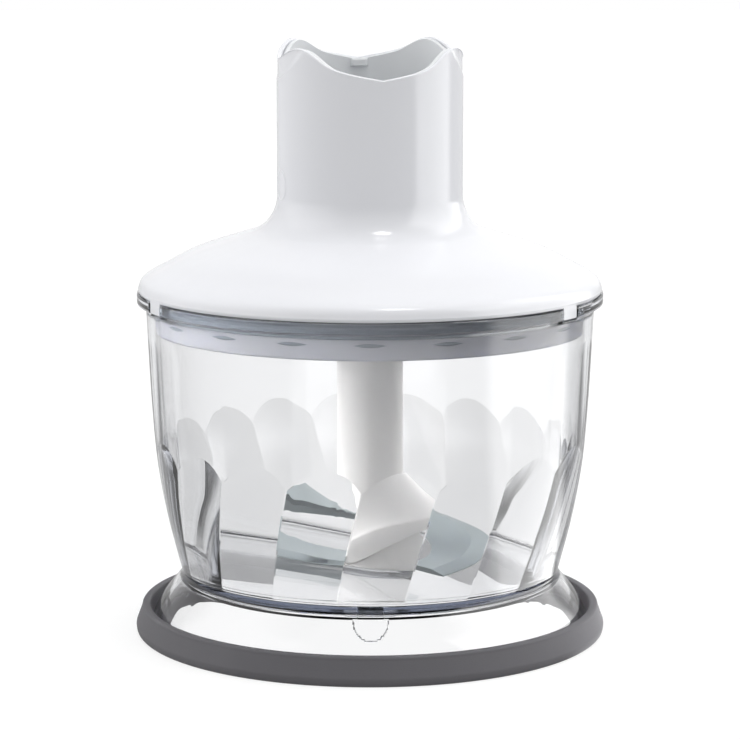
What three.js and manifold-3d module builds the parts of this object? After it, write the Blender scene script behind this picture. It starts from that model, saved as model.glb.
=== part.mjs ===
// A chopper attachment for a hand blender: a clear bowl with a facetted inside on a rubber foot ring, a
// two-bladed hub that turns on the bowl's steel pin, and a lid that holds a planetary gear and the socket for
// the motor part.
// Millimetres, +Z up. The origin is the centre of the foot ring's underside, and the front faces -Y.
// A profile is a list of [radius, height]. Angles round the axis are degrees from the front towards +X.
import * as THREE from "three";
import { mergeVertices } from "three/addons/utils/BufferGeometryUtils.js";
import Module from "manifold-3d";

const wasm = await Module();
wasm.setup();

// ---- Driving dimensions ----
const GAP = 0.3; // between pieces that touch

const footRadius = 70; // outside of the foot ring
const footHeight = 8.6; // height of the foot ring's outer lip
const skirtWall = 2.4; // wall of the flared skirt under the bowl
const waistRadius = 56.2; // outside of the bowl where the floor is
const floorTop = 19.7; // inside floor above the table
const floorThickness = 3.1;
const bowlWall = 2.6; // wall near the rim
const bowlRadius = 66.0; // outside of the wall under the rim
const rimWidth = 2.7; // how far the rim stands out past the wall
const rimThickness = 4.0;
const bowlHeight = 102.0; // top of the rim above the table

const facets = 18; // flat panels round the lower inside
const facetTop = 58.6; // height where the panels begin
const facetTwist = -9.4; // degrees that a panel leans between its top and the floor
const facetPhase = -0.7; // angle of one panel edge at the panels' top

const pinRadius = 2.5; // centre pin
const pinTop = 66.0;
const bossRadius = 6.5; // cone round the pin's foot
const bossHeight = 7.3; // above the floor

const hubRadius = 9.7; // column of the blade hub
const hubFootRadius = 12.2;
const collarRadius = 15.6; // sloping collar that holds the blades
const bladeThickness = 1.4;
const bladeGap = 2.4; // between a blade's tip and the panels
const upperBladeRise = 15.7; // blade root above the floor
const lowerBladeRise = 4.7;

const lidWall = 2.2;
const domeRise = 17.4; // from the lid's edge up to the foot of the neck
const neckRadius = 27.3; // outside of the neck
const neckFillet = 11.5;
const neckWall = 1.5; // outer wall of the neck
const linerWall = 1.5; // socket cup inside the neck
const neckLength = 63.5; // from the rim of the bowl up to the lowest point of the neck's edge
const neckTurn = 8; // degrees that the neck's edge is turned from the front

const skirtDepth = 11.0; // how far the lid reaches into the bowl
const sealHeight = 3.6;
const sealDrop = 0.8; // from the rim of the bowl down to the seal
const lugs = 3; // lugs that keep the lid from turning
const firstLug = 50; // angle of the first lug
const lugSweep = 18; // degrees
const lugDepth = 3.1;

const gearModule = 1.0;
const sunTeeth = 12;
const planetTeeth = 15;
const planets = 3;
const gearWidth = 8.0;
const pressureAngle = 25;
const backlash = 0.22;
const shaftRadius = 2.0; // input shaft
const driveFlats = 7.8; // across the flats of the output hexagon
const planetPinRadius = 1.5;

const screws = 4;
const screwCircle = 45.0; // radius on which the cover screws sit
const screwRadius = 1.5;

// ---- Colours and finishes ----
const finish = (color, roughness, metalness = 0, opacity = 1) =>
  new THREE.MeshStandardMaterial({ color, roughness, metalness, opacity, transparent: opacity < 1 });
const clearPlastic = finish(0xf2f5f6, 0.05, 0, 0.35);
const whiteGloss = finish(0xf1f3f6, 0.15);
const whiteSatin = finish(0xe9e8e4, 0.4);
const greyTint = finish(0xa4a8b4, 0.25);
const greyRubber = finish(0x6c6b70, 0.75);
const sealRubber = finish(0x7d8894, 0.6);
const steel = finish(0xc8d0d2, 0.2, 1);
const brass = finish(0xb59a5b, 0.35, 1);
const gearPlastic = finish(0xe4e2da, 0.5);
const darkPlastic = finish(0x3c3f44, 0.5);

// ---- Small tools ----
const roundSteps = 2 * facets; // flats round a large turned surface, so that they line up with the panels
const radians = THREE.MathUtils.degToRad;

// A closed geometry as a manifold solid.
function solid(geometry) {
  const bare = geometry.index ? geometry.toNonIndexed() : geometry.clone();
  bare.deleteAttribute("normal");
  bare.deleteAttribute("uv");
  const merged = mergeVertices(bare, 1e-4);
  return new wasm.Manifold(
    new wasm.Mesh({
      numProp: 3,
      vertProperties: new Float32Array(merged.attributes.position.array),
      triVerts: new Uint32Array(merged.index.array),
    }),
  );
}

// A manifold solid as a geometry.
function geometryOf(made) {
  const mesh = made.getMesh();
  const geometry = new THREE.BufferGeometry();
  geometry.setAttribute("position", new THREE.BufferAttribute(mesh.vertProperties, 3));
  geometry.setIndex(new THREE.BufferAttribute(mesh.triVerts, 1));
  geometry.computeVertexNormals();
  return geometry;
}

// A profile turned round the axis. It closes on itself, or starts and ends on the axis.
function turned(points, segments = roundSteps) {
  const profile = points.map((p) => (Array.isArray(p) ? new THREE.Vector2(...p) : p));
  return new THREE.LatheGeometry(profile, segments).rotateX(Math.PI / 2);
}

// A plain tube or washer.
const tube = (outer, inner, low, high, segments = 32) =>
  turned([[inner, low], [outer, low], [outer, high], [inner, high], [inner, low]], segments);

// A plain round bar.
const bar = (radius, low, high, segments = 24) =>
  new THREE.CylinderGeometry(radius, radius, high - low, segments)
    .rotateX(Math.PI / 2)
    .translate(0, 0, (low + high) / 2);

// A flat outline pulled up from one height to another.
const pulled = (shape, low, high) =>
  new THREE.ExtrudeGeometry(shape, { depth: high - low, bevelEnabled: false, curveSegments: 14 }).translate(
    0, 0, low,
  );

// A block that stands at a radius and an angle round the axis: deep along the radius, wide across it.
const block = (radius, angle, deep, wide, low, high) =>
  new THREE.BoxGeometry(wide, deep, high - low)
    .translate(0, -radius, (low + high) / 2)
    .rotateZ(radians(angle));

// A skin over rows of points. Every row is a closed loop. The rows end in caps, or the last joins the first.
function skin(rows, joined = false) {
  const size = rows[0].length;
  const faces = [];
  const last = joined ? rows.length : rows.length - 1;
  for (let i = 0; i < last; i++) {
    const lower = rows[i];
    const upper = rows[(i + 1) % rows.length];
    for (let j = 0; j < size; j++) {
      const k = (j + 1) % size;
      faces.push(lower[j], lower[k], upper[k], lower[j], upper[k], upper[j]);
    }
  }
  if (!joined) {
    const centre = (row) => row.reduce((sum, p) => sum.add(p), new THREE.Vector3()).divideScalar(size);
    const [bottom, top] = [rows[0], rows.at(-1)];
    const [low, high] = [centre(bottom), centre(top)];
    for (let j = 0; j < size; j++) {
      const k = (j + 1) % size;
      faces.push(bottom[k], bottom[j], low, top[j], top[k], high);
    }
  }
  return new THREE.BufferGeometry().setFromPoints(faces);
}

// The point at a radius, an angle from the front and a height.
const around = (radius, angle, height) =>
  new THREE.Vector3(radius * Math.sin(radians(angle)), -radius * Math.cos(radians(angle)), height);

// The point in plan at a radius and an angle in radians from +X.
const polar = ([radius, angle]) => new THREE.Vector2(radius * Math.cos(angle), radius * Math.sin(angle));

// ---- The part, in the three units that lift off one another ----
const part = new THREE.Group();
const [bowlUnit, bladeUnit, lidUnit] = [new THREE.Group(), new THREE.Group(), new THREE.Group()];
part.add(bowlUnit, bladeUnit, lidUnit);

// Names a piece and adds it to its unit.
function add(unit, name, geometry, material) {
  const mesh = new THREE.Mesh(geometry, material);
  mesh.name = name;
  unit.add(mesh);
  return mesh;
}

// ---- Foot ring: a U-shaped rubber ring pressed over the skirt's edge ----
const skirtFoot = 3.2; // the skirt's edge above the table
const skirtRadius = footRadius - 5.2; // outside of the skirt's edge
const lipInner = skirtRadius + GAP + 0.5;
const ringInner = skirtRadius - skirtWall - 1.6;
add(
  bowlUnit,
  "foot_ring",
  turned([
    [ringInner + 0.6, 0],
    [footRadius - 1.4, 0],
    [footRadius - 0.2, 1.2],
    [footRadius, 2.6],
    [footRadius - 2.0, footHeight - 0.8],
    [footRadius - 2.9, footHeight],
    [lipInner + 0.4, footHeight - 0.3],
    [lipInner, footHeight - 1.3],
    [skirtRadius + GAP, skirtFoot - GAP],
    [skirtRadius - skirtWall - GAP, skirtFoot - GAP],
    [skirtRadius - skirtWall - GAP, skirtFoot + 2],
    [ringInner, skirtFoot + 2],
    [ringInner, 0.6],
    [ringInner + 0.6, 0],
  ]),
  greyRubber,
);

// ---- Bowl ----
const floorUnder = floorTop - floorThickness;
const rimRadius = bowlRadius + rimWidth;
const wallRise = bowlHeight - floorTop; // height of the bowl's inside

// Outside of the wall from the waist to the rim, as shares of the way up.
const wallOutside = new THREE.SplineCurve([
  new THREE.Vector2(waistRadius, floorTop - 0.7),
  new THREE.Vector2(waistRadius + 0.4 * (bowlRadius - waistRadius), floorTop + 0.18 * wallRise),
  new THREE.Vector2(waistRadius + 0.7 * (bowlRadius - waistRadius), floorTop + 0.38 * wallRise),
  new THREE.Vector2(waistRadius + 0.86 * (bowlRadius - waistRadius), floorTop + 0.6 * wallRise),
  new THREE.Vector2(bowlRadius, bowlHeight - rimThickness - 1.6),
]);
// Outside of the skirt from its edge up to the waist.
const skirtOutside = new THREE.SplineCurve([
  new THREE.Vector2(skirtRadius, skirtFoot),
  new THREE.Vector2(skirtRadius - 0.1, skirtFoot + 2.2),
  new THREE.Vector2(
    waistRadius + 0.7 * (skirtRadius - waistRadius),
    skirtFoot + 0.52 * (floorUnder - skirtFoot),
  ),
  new THREE.Vector2(waistRadius + 0.7, floorUnder + 0.2),
  new THREE.Vector2(waistRadius, floorTop - 0.7),
]);
const skirtInside = skirtOutside
  .getPoints(6)
  .filter((p) => p.y < floorUnder - 1.8)
  .map((p) => new THREE.Vector2(p.x - skirtWall, p.y));
const bowlBody = solid(
  turned(
    [
      [0, floorUnder - 2.2],
      [bossRadius + 0.4, floorUnder - 2.2],
      [bossRadius + 1.4, floorUnder],
      [waistRadius - skirtWall - 2.6, floorUnder],
      ...skirtInside.reverse(),
      ...skirtOutside.getPoints(7),
      ...wallOutside.getPoints(7).slice(1),
      [bowlRadius + 0.5, bowlHeight - rimThickness],
      [rimRadius - 0.3, bowlHeight - rimThickness + 1.0],
      [rimRadius, bowlHeight - rimThickness + 1.6],
      [rimRadius, bowlHeight - 0.3],
      [rimRadius - 0.3, bowlHeight],
      [0, bowlHeight],
    ],
  ),
);
// Radius of the round inside at a height: the wall's outside less its thickness.
const mouthRadius = bowlRadius - bowlWall; // at the lid's skirt
const facetTopRadius = waistRadius + 0.77 * (bowlRadius - waistRadius) - bowlWall; // where the panels begin
const roundInside = turned(
  [
    [0, floorTop],
    [facetTopRadius, floorTop],
    [facetTopRadius, facetTop - 4],
    [mouthRadius, bowlHeight - skirtDepth - 1.5],
    [mouthRadius, bowlHeight + 1],
    [0, bowlHeight + 1],
  ],
);
// The panels: a twisted prism that widens upwards and passes out of the round wall where they begin.
const facetFloorRadius = waistRadius - 5.0; // to the middle of a panel, just above the floor's fillet
const panelLean = (facetTopRadius - facetFloorRadius) / (facetTop - floorTop - 3.8);
const panelRadius = (height) => facetFloorRadius + panelLean * (height - floorTop - 3.8);
const panelLevels = [
  [facetFloorRadius - 2.6, floorTop],
  [facetFloorRadius - 1.0, floorTop + 1.3],
  [facetFloorRadius, floorTop + 3.8],
];
for (const share of [0.2, 0.4, 0.6, 0.8, 1, 1.2]) {
  const height = floorTop + 3.8 + share * (facetTop - floorTop - 3.8);
  panelLevels.push([panelRadius(height), height]);
}
panelLevels.push([rimRadius + 8, facetTop + 24], [rimRadius + 8, bowlHeight + 1]);
const panelRows = panelLevels.map(([middle, height]) => {
  const corner = middle / Math.cos(Math.PI / facets);
  const turn = facetPhase + (facetTwist * Math.max(0, facetTop - height)) / (facetTop - floorTop);
  return Array.from({ length: facets }, (_, i) => around(corner, turn + (i * 360) / facets, height));
});
const panels = skin(panelRows);
const boss = turned([
  [0, floorTop - 1],
  [bossRadius + 1.2, floorTop - 1],
  [bossRadius + 1.2, floorTop],
  [bossRadius, floorTop + 1.4],
  [bossRadius - 1, floorTop + bossHeight],
  [0, floorTop + bossHeight],
], 32);
const pinHole = bar(pinRadius + GAP, floorUnder - 0.6, floorTop + bossHeight + 1);
// A notch in the rim for each of the lid's lugs.
const rimFloor = bowlHeight - lugDepth - GAP;
const lugInner = rimRadius - 1.9;
const sector = (outer, inner, from, to, low, high) => {
  const steps = 6;
  const row = (angle) => [
    around(outer, angle, low),
    around(inner, angle, low),
    around(inner, angle, high),
    around(outer, angle, high),
  ];
  return skin(Array.from({ length: steps + 1 }, (_, i) => row(from + ((to - from) * i) / steps)));
};
const lugAngles = Array.from({ length: lugs }, (_, i) => firstLug + (i * 360) / lugs);
const spare = THREE.MathUtils.radToDeg(GAP / rimRadius); // the gap as an angle at the rim
const notches = lugAngles.map((angle) => {
  const half = lugSweep / 2 + spare;
  return solid(sector(rimRadius + 1, lugInner - GAP, angle - half, angle + half, rimFloor, bowlHeight + 1));
});
let bowl = bowlBody.subtract(solid(roundInside).intersect(solid(panels)));
bowl = bowl.add(solid(boss)).subtract(solid(pinHole));
for (const notch of notches) bowl = bowl.subtract(notch);
add(bowlUnit, "bowl", geometryOf(bowl), clearPlastic);

// ---- Centre pin ----
const pinFoot = floorUnder - 0.6 + GAP;
add(
  bowlUnit,
  "centre_pin",
  turned(
    [
      [0, pinFoot],
      [pinRadius, pinFoot],
      [pinRadius, pinTop - 1.2],
      [pinRadius - 0.8, pinTop - 0.3],
      [0, pinTop],
    ],
    24,
  ),
  steel,
);

// ---- Bush: slides onto the pin and carries the hub ----
const bushRadius = pinRadius + 1.5;
const bushFoot = floorTop + bossHeight + GAP;
const bushFlange = 1.3;
const pinRoom = 0.25; // running room round the pin
add(
  bladeUnit,
  "pin_bush",
  turned(
    [
      [pinRadius + pinRoom, bushFoot],
      [bushRadius + 1.3, bushFoot],
      [bushRadius + 1.3, bushFoot + bushFlange],
      [bushRadius, bushFoot + bushFlange],
      [bushRadius, pinTop + 1.8],
      [0, pinTop + 1.8],
      [0, pinTop + GAP],
      [pinRadius + pinRoom, pinTop + GAP],
      [pinRadius + pinRoom, bushFoot],
    ],
    24,
  ),
  brass,
);

// ---- Blades: each is a sickle whose outer edge is ground ----
const reach = panelRadius(floorTop + 9.8) - bladeGap;
const bladeScale = reach / 50.3;
const upperRoot = floorTop + upperBladeRise;
const lowerRoot = floorTop + lowerBladeRise;
const meet = (upperRoot + lowerRoot) / 2; // both tips reach this height
const tangRoot = bushRadius + 3.0; // how near the axis the tang comes
// Outer and inner edge of a blade in plan, from the tang to the tip. The blade leaves the hub towards +X.
const bladeOuter = new THREE.SplineCurve([
  new THREE.Vector2(tangRoot, 9.4),
  new THREE.Vector2(16.5 * bladeScale, 10.2 * bladeScale),
  new THREE.Vector2(27.2 * bladeScale, 0.5 * bladeScale),
  new THREE.Vector2(30.6 * bladeScale, -15 * bladeScale),
  new THREE.Vector2(27.6 * bladeScale, -32 * bladeScale),
  new THREE.Vector2(20 * bladeScale, -46 * bladeScale),
]);
const bladeInner = new THREE.SplineCurve([
  new THREE.Vector2(tangRoot, -3.6),
  new THREE.Vector2(13.2 * bladeScale, -5.0 * bladeScale),
  new THREE.Vector2(18.6 * bladeScale, -10.5 * bladeScale),
  new THREE.Vector2(20.4 * bladeScale, -20.5 * bladeScale),
  new THREE.Vector2(19.3 * bladeScale, -32 * bladeScale),
  new THREE.Vector2(15 * bladeScale, -43.5 * bladeScale),
]);
const bladeSteps = 16;
const groundEdge = 3.4; // width of the ground bevel
const edgeThickness = 0.3;
// The blade's rows from tang to tip. A grown blade is the slot that it sits in.
function bladeRows(root, tip, grown = 0) {
  return Array.from({ length: bladeSteps + 1 }, (_, i) => {
    const share = i / bladeSteps;
    const outer = bladeOuter.getPoint(share);
    const inner = bladeInner.getPoint(share);
    const across = outer.clone().sub(inner);
    const width = across.length();
    across.normalize();
    const out = outer.addScaledVector(across, grown);
    const back = inner.addScaledVector(across, -grown);
    const ground = out.clone().addScaledVector(across, -Math.min(groundEdge, 0.5 * width));
    const bent = THREE.MathUtils.smoothstep(share, 0.22, 1);
    const middle = root + (tip - root) * bent;
    const low = middle - bladeThickness / 2 - grown;
    const high = middle + bladeThickness / 2 + grown;
    const edge = grown > 0 ? high : low + edgeThickness;
    const shift = i === 0 ? -grown : 0; // the slot is deeper than the tang
    return [
      new THREE.Vector3(back.x + shift, back.y, low),
      new THREE.Vector3(out.x + shift, out.y, low),
      new THREE.Vector3(out.x + shift, out.y, edge),
      new THREE.Vector3(ground.x + shift, ground.y, high),
      new THREE.Vector3(back.x + shift, back.y, high),
    ];
  });
}
// The upper blade bends down to its tip, and the lower one, half a turn round, bends up.
add(bladeUnit, "upper_blade", skin(bladeRows(upperRoot, meet)), steel);
add(bladeUnit, "lower_blade", skin(bladeRows(lowerRoot, meet)), steel).rotation.z = Math.PI;

// ---- Blade hub: a column with a sloping collar that is moulded round both blades ----
const hubFoot = floorTop + 0.7;
const hubTop = bowlHeight - 10.0;
const insertDepth = 11.7;
const insertRadius = hubRadius - 2.7;
const hubBody = turned(
  [
    [bossRadius + 0.9, hubFoot],
    [hubFootRadius - 0.6, hubFoot],
    [hubFootRadius, hubFoot + 0.8],
    [hubFootRadius - 0.4, lowerRoot + 1],
    [hubRadius + 0.7, upperRoot + 5],
    [hubRadius, upperRoot + 10],
    [hubRadius, hubTop - 0.6],
    [hubRadius - 0.6, hubTop],
    [insertRadius + GAP, hubTop],
    [insertRadius + GAP, hubTop - insertDepth],
    [0, hubTop - insertDepth],
    [0, pinTop + 2.1],
    [bushRadius + GAP, pinTop + 2.1],
    [bushRadius + GAP, bushFoot + bushFlange + GAP],
    [bushRadius + 1.3 + GAP, bushFoot + bushFlange + GAP],
    [bushRadius + 1.3 + GAP, bushFoot - 0.2],
    [bossRadius + 0.9, bushFoot - 0.2],
    [bossRadius + 0.9, hubFoot],
  ],
  32,
);
const collarSteps = 24;
const collarHalf = 2.9; // half the collar's height at the column
const collarRows = Array.from({ length: collarSteps }, (_, i) => {
  const angle = (i * 360) / collarSteps;
  const slope = Math.cos(radians(angle - 90 - 10)); // highest just behind +X
  const middle = meet + ((upperRoot - lowerRoot) / 2) * slope;
  return [
    around(hubRadius - 2, angle, middle + collarHalf),
    around(collarRadius - 1, angle, middle + collarHalf - 0.6),
    around(collarRadius, angle, middle),
    around(collarRadius - 1, angle, middle - collarHalf + 0.6),
    around(hubRadius - 2, angle, middle - collarHalf),
  ];
});
const hub = solid(hubBody)
  .add(solid(skin(collarRows, true)))
  .subtract(solid(skin(bladeRows(upperRoot, meet, GAP))))
  .subtract(solid(skin(bladeRows(lowerRoot, meet, GAP)).rotateZ(Math.PI)));
add(bladeUnit, "blade_hub", geometryOf(hub), whiteSatin);

// ---- Drive insert: a hexagon socket in the hub's top ----
const hexagon = (flats) =>
  Array.from({ length: 6 }, (_, i) => polar([flats / Math.sqrt(3), (i * Math.PI) / 3]));
const insertShape = new THREE.Shape().absarc(0, 0, insertRadius, 0, 2 * Math.PI);
insertShape.holes.push(new THREE.Path(hexagon(driveFlats + 2 * GAP).reverse()));
add(bladeUnit, "drive_insert", pulled(insertShape, hubTop - insertDepth + GAP, hubTop - GAP), darkPlastic);

// ---- Gears ----
const pitch = (teeth) => (gearModule * teeth) / 2;
const ringTeeth = sunTeeth + 2 * planetTeeth;
const planetOrbit = pitch(sunTeeth) + pitch(planetTeeth);

// The outline of a spur gear with involute flanks and one tooth centred on +X. Its teeth are thinned by that
// much at the pitch circle.
function gearOutline(teeth, tip, root, thinned) {
  const involute = (angle) => Math.tan(angle) - angle;
  const pressure = radians(pressureAngle);
  const base = pitch(teeth) * Math.cos(pressure);
  const halfAtPitch = Math.PI / (2 * teeth) - thinned / (2 * pitch(teeth));
  const flankAngle = (radius) => involute(Math.acos(Math.min(1, base / radius)));
  const halfAt = (radius) => halfAtPitch + involute(pressure) - flankAngle(radius);
  const start = Math.max(base, root);
  const radii = [start, (start + tip) / 2, tip];
  const flank = radii.map((radius) => [radius, halfAt(radius)]);
  if (root < base) flank.unshift([root, halfAt(base)]);
  const points = [];
  for (let i = 0; i < teeth; i++) {
    const middle = (2 * Math.PI * i) / teeth;
    for (const [radius, half] of flank) points.push([radius, middle - half]);
    for (const [radius, half] of [...flank].reverse()) points.push([radius, middle + half]);
  }
  return points.map(polar);
}

// An outside gear with a round bore.
function gearShape(teeth, bore) {
  const shape = new THREE.Shape(
    gearOutline(teeth, pitch(teeth) + 0.95 * gearModule, pitch(teeth) - 1.2 * gearModule, backlash),
  );
  shape.holes.push(new THREE.Path().absarc(0, 0, bore, 0, 2 * Math.PI, true));
  return shape;
}

const gearLow = bowlHeight - 0.4; // underside of the sun and the planets
const gearHigh = gearLow + gearWidth;
const ringOutside = pitch(ringTeeth) + 4 * gearModule;
const ringLow = gearLow - 4.4;
const ringHigh = gearHigh + 2.9;
const ringShape = new THREE.Shape().absarc(0, 0, ringOutside, 0, 2 * Math.PI);
ringShape.holes.push(
  new THREE.Path(
    gearOutline(
      ringTeeth,
      pitch(ringTeeth) + 1.25 * gearModule,
      pitch(ringTeeth) - 0.85 * gearModule,
      -backlash,
    ).reverse(),
  ),
);
add(lidUnit, "ring_gear", pulled(ringShape, ringLow, ringHigh), gearPlastic);
add(lidUnit, "sun_gear", pulled(gearShape(sunTeeth, shaftRadius + GAP), gearLow, gearHigh), steel);
const planetAngle = (i) => (2 * Math.PI * i) / planets;
for (let i = 0; i < planets; i++) {
  const stage = new THREE.Group();
  stage.rotation.z = planetAngle(i);
  lidUnit.add(stage);
  const gear = pulled(gearShape(planetTeeth, planetPinRadius + GAP), gearLow, gearHigh);
  const pin = bar(planetPinRadius, gearLow - 3.6, gearHigh + 2.3, 14);
  const gearMesh = add(stage, `planet_gear_${i + 1}`, gear, gearPlastic);
  gearMesh.position.x = planetOrbit;
  gearMesh.rotation.z = Math.PI - Math.PI / planetTeeth; // a gap faces the sun
  add(stage, `planet_pin_${i + 1}`, pin, steel).position.x = planetOrbit;
}

// ---- Carrier: two plates that hold the planets, on the output shaft ----
const carrierRadius = planetOrbit + 5.2;
const journalRadius = 5.0;
const carrierPlate = (bore) => {
  const shape = new THREE.Shape().absarc(0, 0, carrierRadius, 0, 2 * Math.PI);
  shape.holes.push(new THREE.Path().absarc(0, 0, bore, 0, 2 * Math.PI, true));
  for (let i = 0; i < planets; i++) {
    const [x, y] = [planetOrbit * Math.cos(planetAngle(i)), planetOrbit * Math.sin(planetAngle(i))];
    shape.holes.push(new THREE.Path().absarc(x, y, planetPinRadius + GAP, 0, 2 * Math.PI, true));
  }
  return shape;
};
const carrierTop = gearLow - 0.6;
const lowerPlate = pulled(carrierPlate(journalRadius + GAP), gearLow - 3.8, carrierTop);
const upperPlate = pulled(carrierPlate(pitch(sunTeeth) + 2), gearHigh + 0.5, gearHigh + 2.1);
add(lidUnit, "planet_carrier", lowerPlate, darkPlastic);
add(lidUnit, "carrier_cap", upperPlate, darkPlastic);
const coverTop = bowlHeight - 5.4; // upper face of the gear cover
const coverUnder = coverTop - 2.0;
const dogTip = hubTop - 8.0;
const outputShaft = solid(pulled(new THREE.Shape(hexagon(driveFlats)), dogTip, coverUnder - 1.2))
  .add(solid(bar(journalRadius, coverUnder - 1.4, carrierTop, 32)))
  .subtract(solid(bar(shaftRadius + GAP, carrierTop - 5, carrierTop + 1)));
add(lidUnit, "output_shaft", geometryOf(outputShaft), steel);

// ---- Input: the dog that the motor turns, its shaft and its clip ----
const cupFloorLow = ringHigh + GAP; // underside of the socket cup
const cupFloorTop = cupFloorLow + 2.6;
const dogLow = cupFloorTop + 3.2;
const dogHigh = dogLow + 15;
const dogRadius = 7.5;
add(lidUnit, "input_shaft", bar(shaftRadius, carrierTop - 4.6, dogHigh - 2, 20), steel);
const dogArms = 6;
const dogRoot = dogRadius - 2.6;
const dogArm = [[dogRoot, -21], [dogRadius, -11], [dogRadius, 11], [dogRoot, 21]]; // radius, degrees
const dogShape = new THREE.Shape(
  Array.from({ length: 4 * dogArms }, (_, i) => {
    const arm = Math.floor(i / 4);
    const [radius, lead] = dogArm[i % 4];
    return polar([radius, radians((arm * 360) / dogArms + lead)]);
  }),
);
const dog = solid(pulled(dogShape, dogLow, dogHigh)).subtract(
  solid(bar(shaftRadius + GAP, dogLow - 1, dogHigh - 2 + GAP)),
);
add(lidUnit, "drive_dog", geometryOf(dog), darkPlastic);
const clip = tube(shaftRadius + 2, shaftRadius + GAP, gearHigh + 0.5, gearHigh + 1.3, 20);
add(lidUnit, "shaft_clip", clip, steel);

// ---- Bearings and seal in the lid ----
const inputBushRadius = 4.6;
const inputFlangeRadius = inputBushRadius + 1.4;
const inputFlangeTop = cupFloorTop - GAP; // the flange lies in a recess of the cup's floor
const inputFlangeLow = inputFlangeTop - 1.0;
add(
  lidUnit,
  "input_bush",
  turned(
    [
      [shaftRadius + GAP, cupFloorLow - 0.4],
      [inputBushRadius, cupFloorLow - 0.4],
      [inputBushRadius, inputFlangeLow],
      [inputFlangeRadius, inputFlangeLow],
      [inputFlangeRadius, inputFlangeTop],
      [shaftRadius + GAP, inputFlangeTop],
      [shaftRadius + GAP, cupFloorLow - 0.4],
    ],
    32,
  ),
  brass,
);
const outputBushRadius = 7.4;
const journalBore = journalRadius + GAP;
const outputBush = tube(outputBushRadius, journalBore, coverUnder + 1.0, gearLow - 4.1, 28);
const shaftSeal = tube(outputBushRadius, journalBore, coverUnder - 1.0, coverUnder + 0.7, 28);
add(lidUnit, "output_bush", outputBush, brass);
add(lidUnit, "shaft_seal", shaftSeal, sealRubber);

// ---- Gear cover: the lid's lower half, with the skirt that fits in the bowl ----
const skirtOut = mouthRadius - 0.9;
const skirtIn = skirtOut - 2.3;
const sealHigh = bowlHeight - sealDrop;
const sealLow = sealHigh - sealHeight;
const coverLip = bowlRadius - 0.5;
const coverBody = solid(
  turned([
    [outputBushRadius + GAP, coverUnder - 1.0],
    [outputBushRadius + 2.6, coverUnder - 1.0],
    [outputBushRadius + 3.2, coverUnder],
    [skirtIn - 1.0, coverUnder],
    [skirtIn, coverUnder - 1.0],
    [skirtIn + 0.6, bowlHeight - skirtDepth],
    [skirtOut - 0.6, bowlHeight - skirtDepth],
    [skirtOut, bowlHeight - skirtDepth + 0.8],
    [skirtOut, sealLow - GAP],
    [skirtOut - 1.1, sealLow - GAP],
    [skirtOut - 1.1, sealHigh + GAP],
    [skirtOut, sealHigh + GAP],
    [skirtOut, bowlHeight + GAP],
    [coverLip, bowlHeight + GAP],
    [coverLip, bowlHeight + 1.7],
    [skirtIn, bowlHeight + 1.7],
    [skirtIn, coverTop],
    [outputBushRadius + GAP, coverTop],
    [outputBushRadius + GAP, coverUnder - 1.0],
  ]),
);
const screwAngles = Array.from({ length: screws }, (_, i) => 45 + (i * 360) / screws);
const atScrews = (geometry) =>
  screwAngles.map((angle) => solid(geometry.clone().translate(0, -screwCircle, 0).rotateZ(radians(angle))));
let cover = coverBody;
for (const hole of atScrews(bar(screwRadius + GAP, coverUnder - 1, coverTop + 1, 16))) {
  cover = cover.subtract(hole);
}
add(lidUnit, "gear_cover", geometryOf(cover), greyTint);

// ---- Lid seal: a soft ring in the skirt's groove ----
add(lidUnit, "lid_seal", tube(mouthRadius - GAP, skirtOut - 0.8, sealLow, sealHigh, roundSteps), sealRubber);

// ---- Lid shell: the white dome and the outside of the neck ----
const lidEdge = bowlHeight + GAP;
const lidRadius = rimRadius - 0.4;
const neckFoot = lidEdge + domeRise; // where the dome meets the neck's fillet
const domeSlope = radians(20);
const filletCentre = new THREE.Vector2(neckRadius + neckFillet, neckFoot + neckFillet * Math.cos(domeSlope));
const filletEnd = new THREE.Vector2(
  filletCentre.x - neckFillet * Math.sin(domeSlope),
  filletCentre.y - neckFillet * Math.cos(domeSlope),
);
const neckLow = bowlHeight + neckLength; // lowest point of the neck's edge
const neckSpare = neckLow + 16; // the neck is made too long, then its edge is cut
const dome = new THREE.SplineCurve([
  new THREE.Vector2(lidRadius, lidEdge + 1.0),
  new THREE.Vector2(lidRadius - 1.5, lidEdge + 3.9),
  new THREE.Vector2(lidRadius - 7.6, lidEdge + 7.4),
  new THREE.Vector2((lidRadius + filletEnd.x) / 2, lidEdge + 0.69 * domeRise),
  filletEnd,
]);
const neckCurve = new THREE.EllipseCurve(
  filletCentre.x, filletCentre.y, neckFillet, neckFillet, -Math.PI / 2 - domeSlope, -Math.PI, true,
);
const shellOutside = [...dome.getPoints(8), ...neckCurve.getPoints(5).slice(1)];
const shellInside = shellOutside
  .slice(2)
  .map((p) => {
    const onNeck = THREE.MathUtils.smoothstep(p.y, neckFoot, filletCentre.y);
    const wall = THREE.MathUtils.lerp(lidWall, neckWall, onNeck);
    return new THREE.Vector2(p.x - wall * (0.35 + 0.65 * onNeck), p.y - lidWall * (1 - onNeck));
  })
  .filter((p) => p.y > lidEdge + 2.4);
const shellBody = solid(
  turned([
    [lidRadius - 1.7, lidEdge],
    [lidRadius - 0.3, lidEdge],
    ...shellOutside,
    [neckRadius, neckSpare],
    [neckRadius - neckWall, neckSpare],
    ...shellInside.reverse(),
    [lidRadius - 1.9, lidEdge + 2.4],
    [lidRadius - 1.7, lidEdge],
  ]),
);
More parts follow.
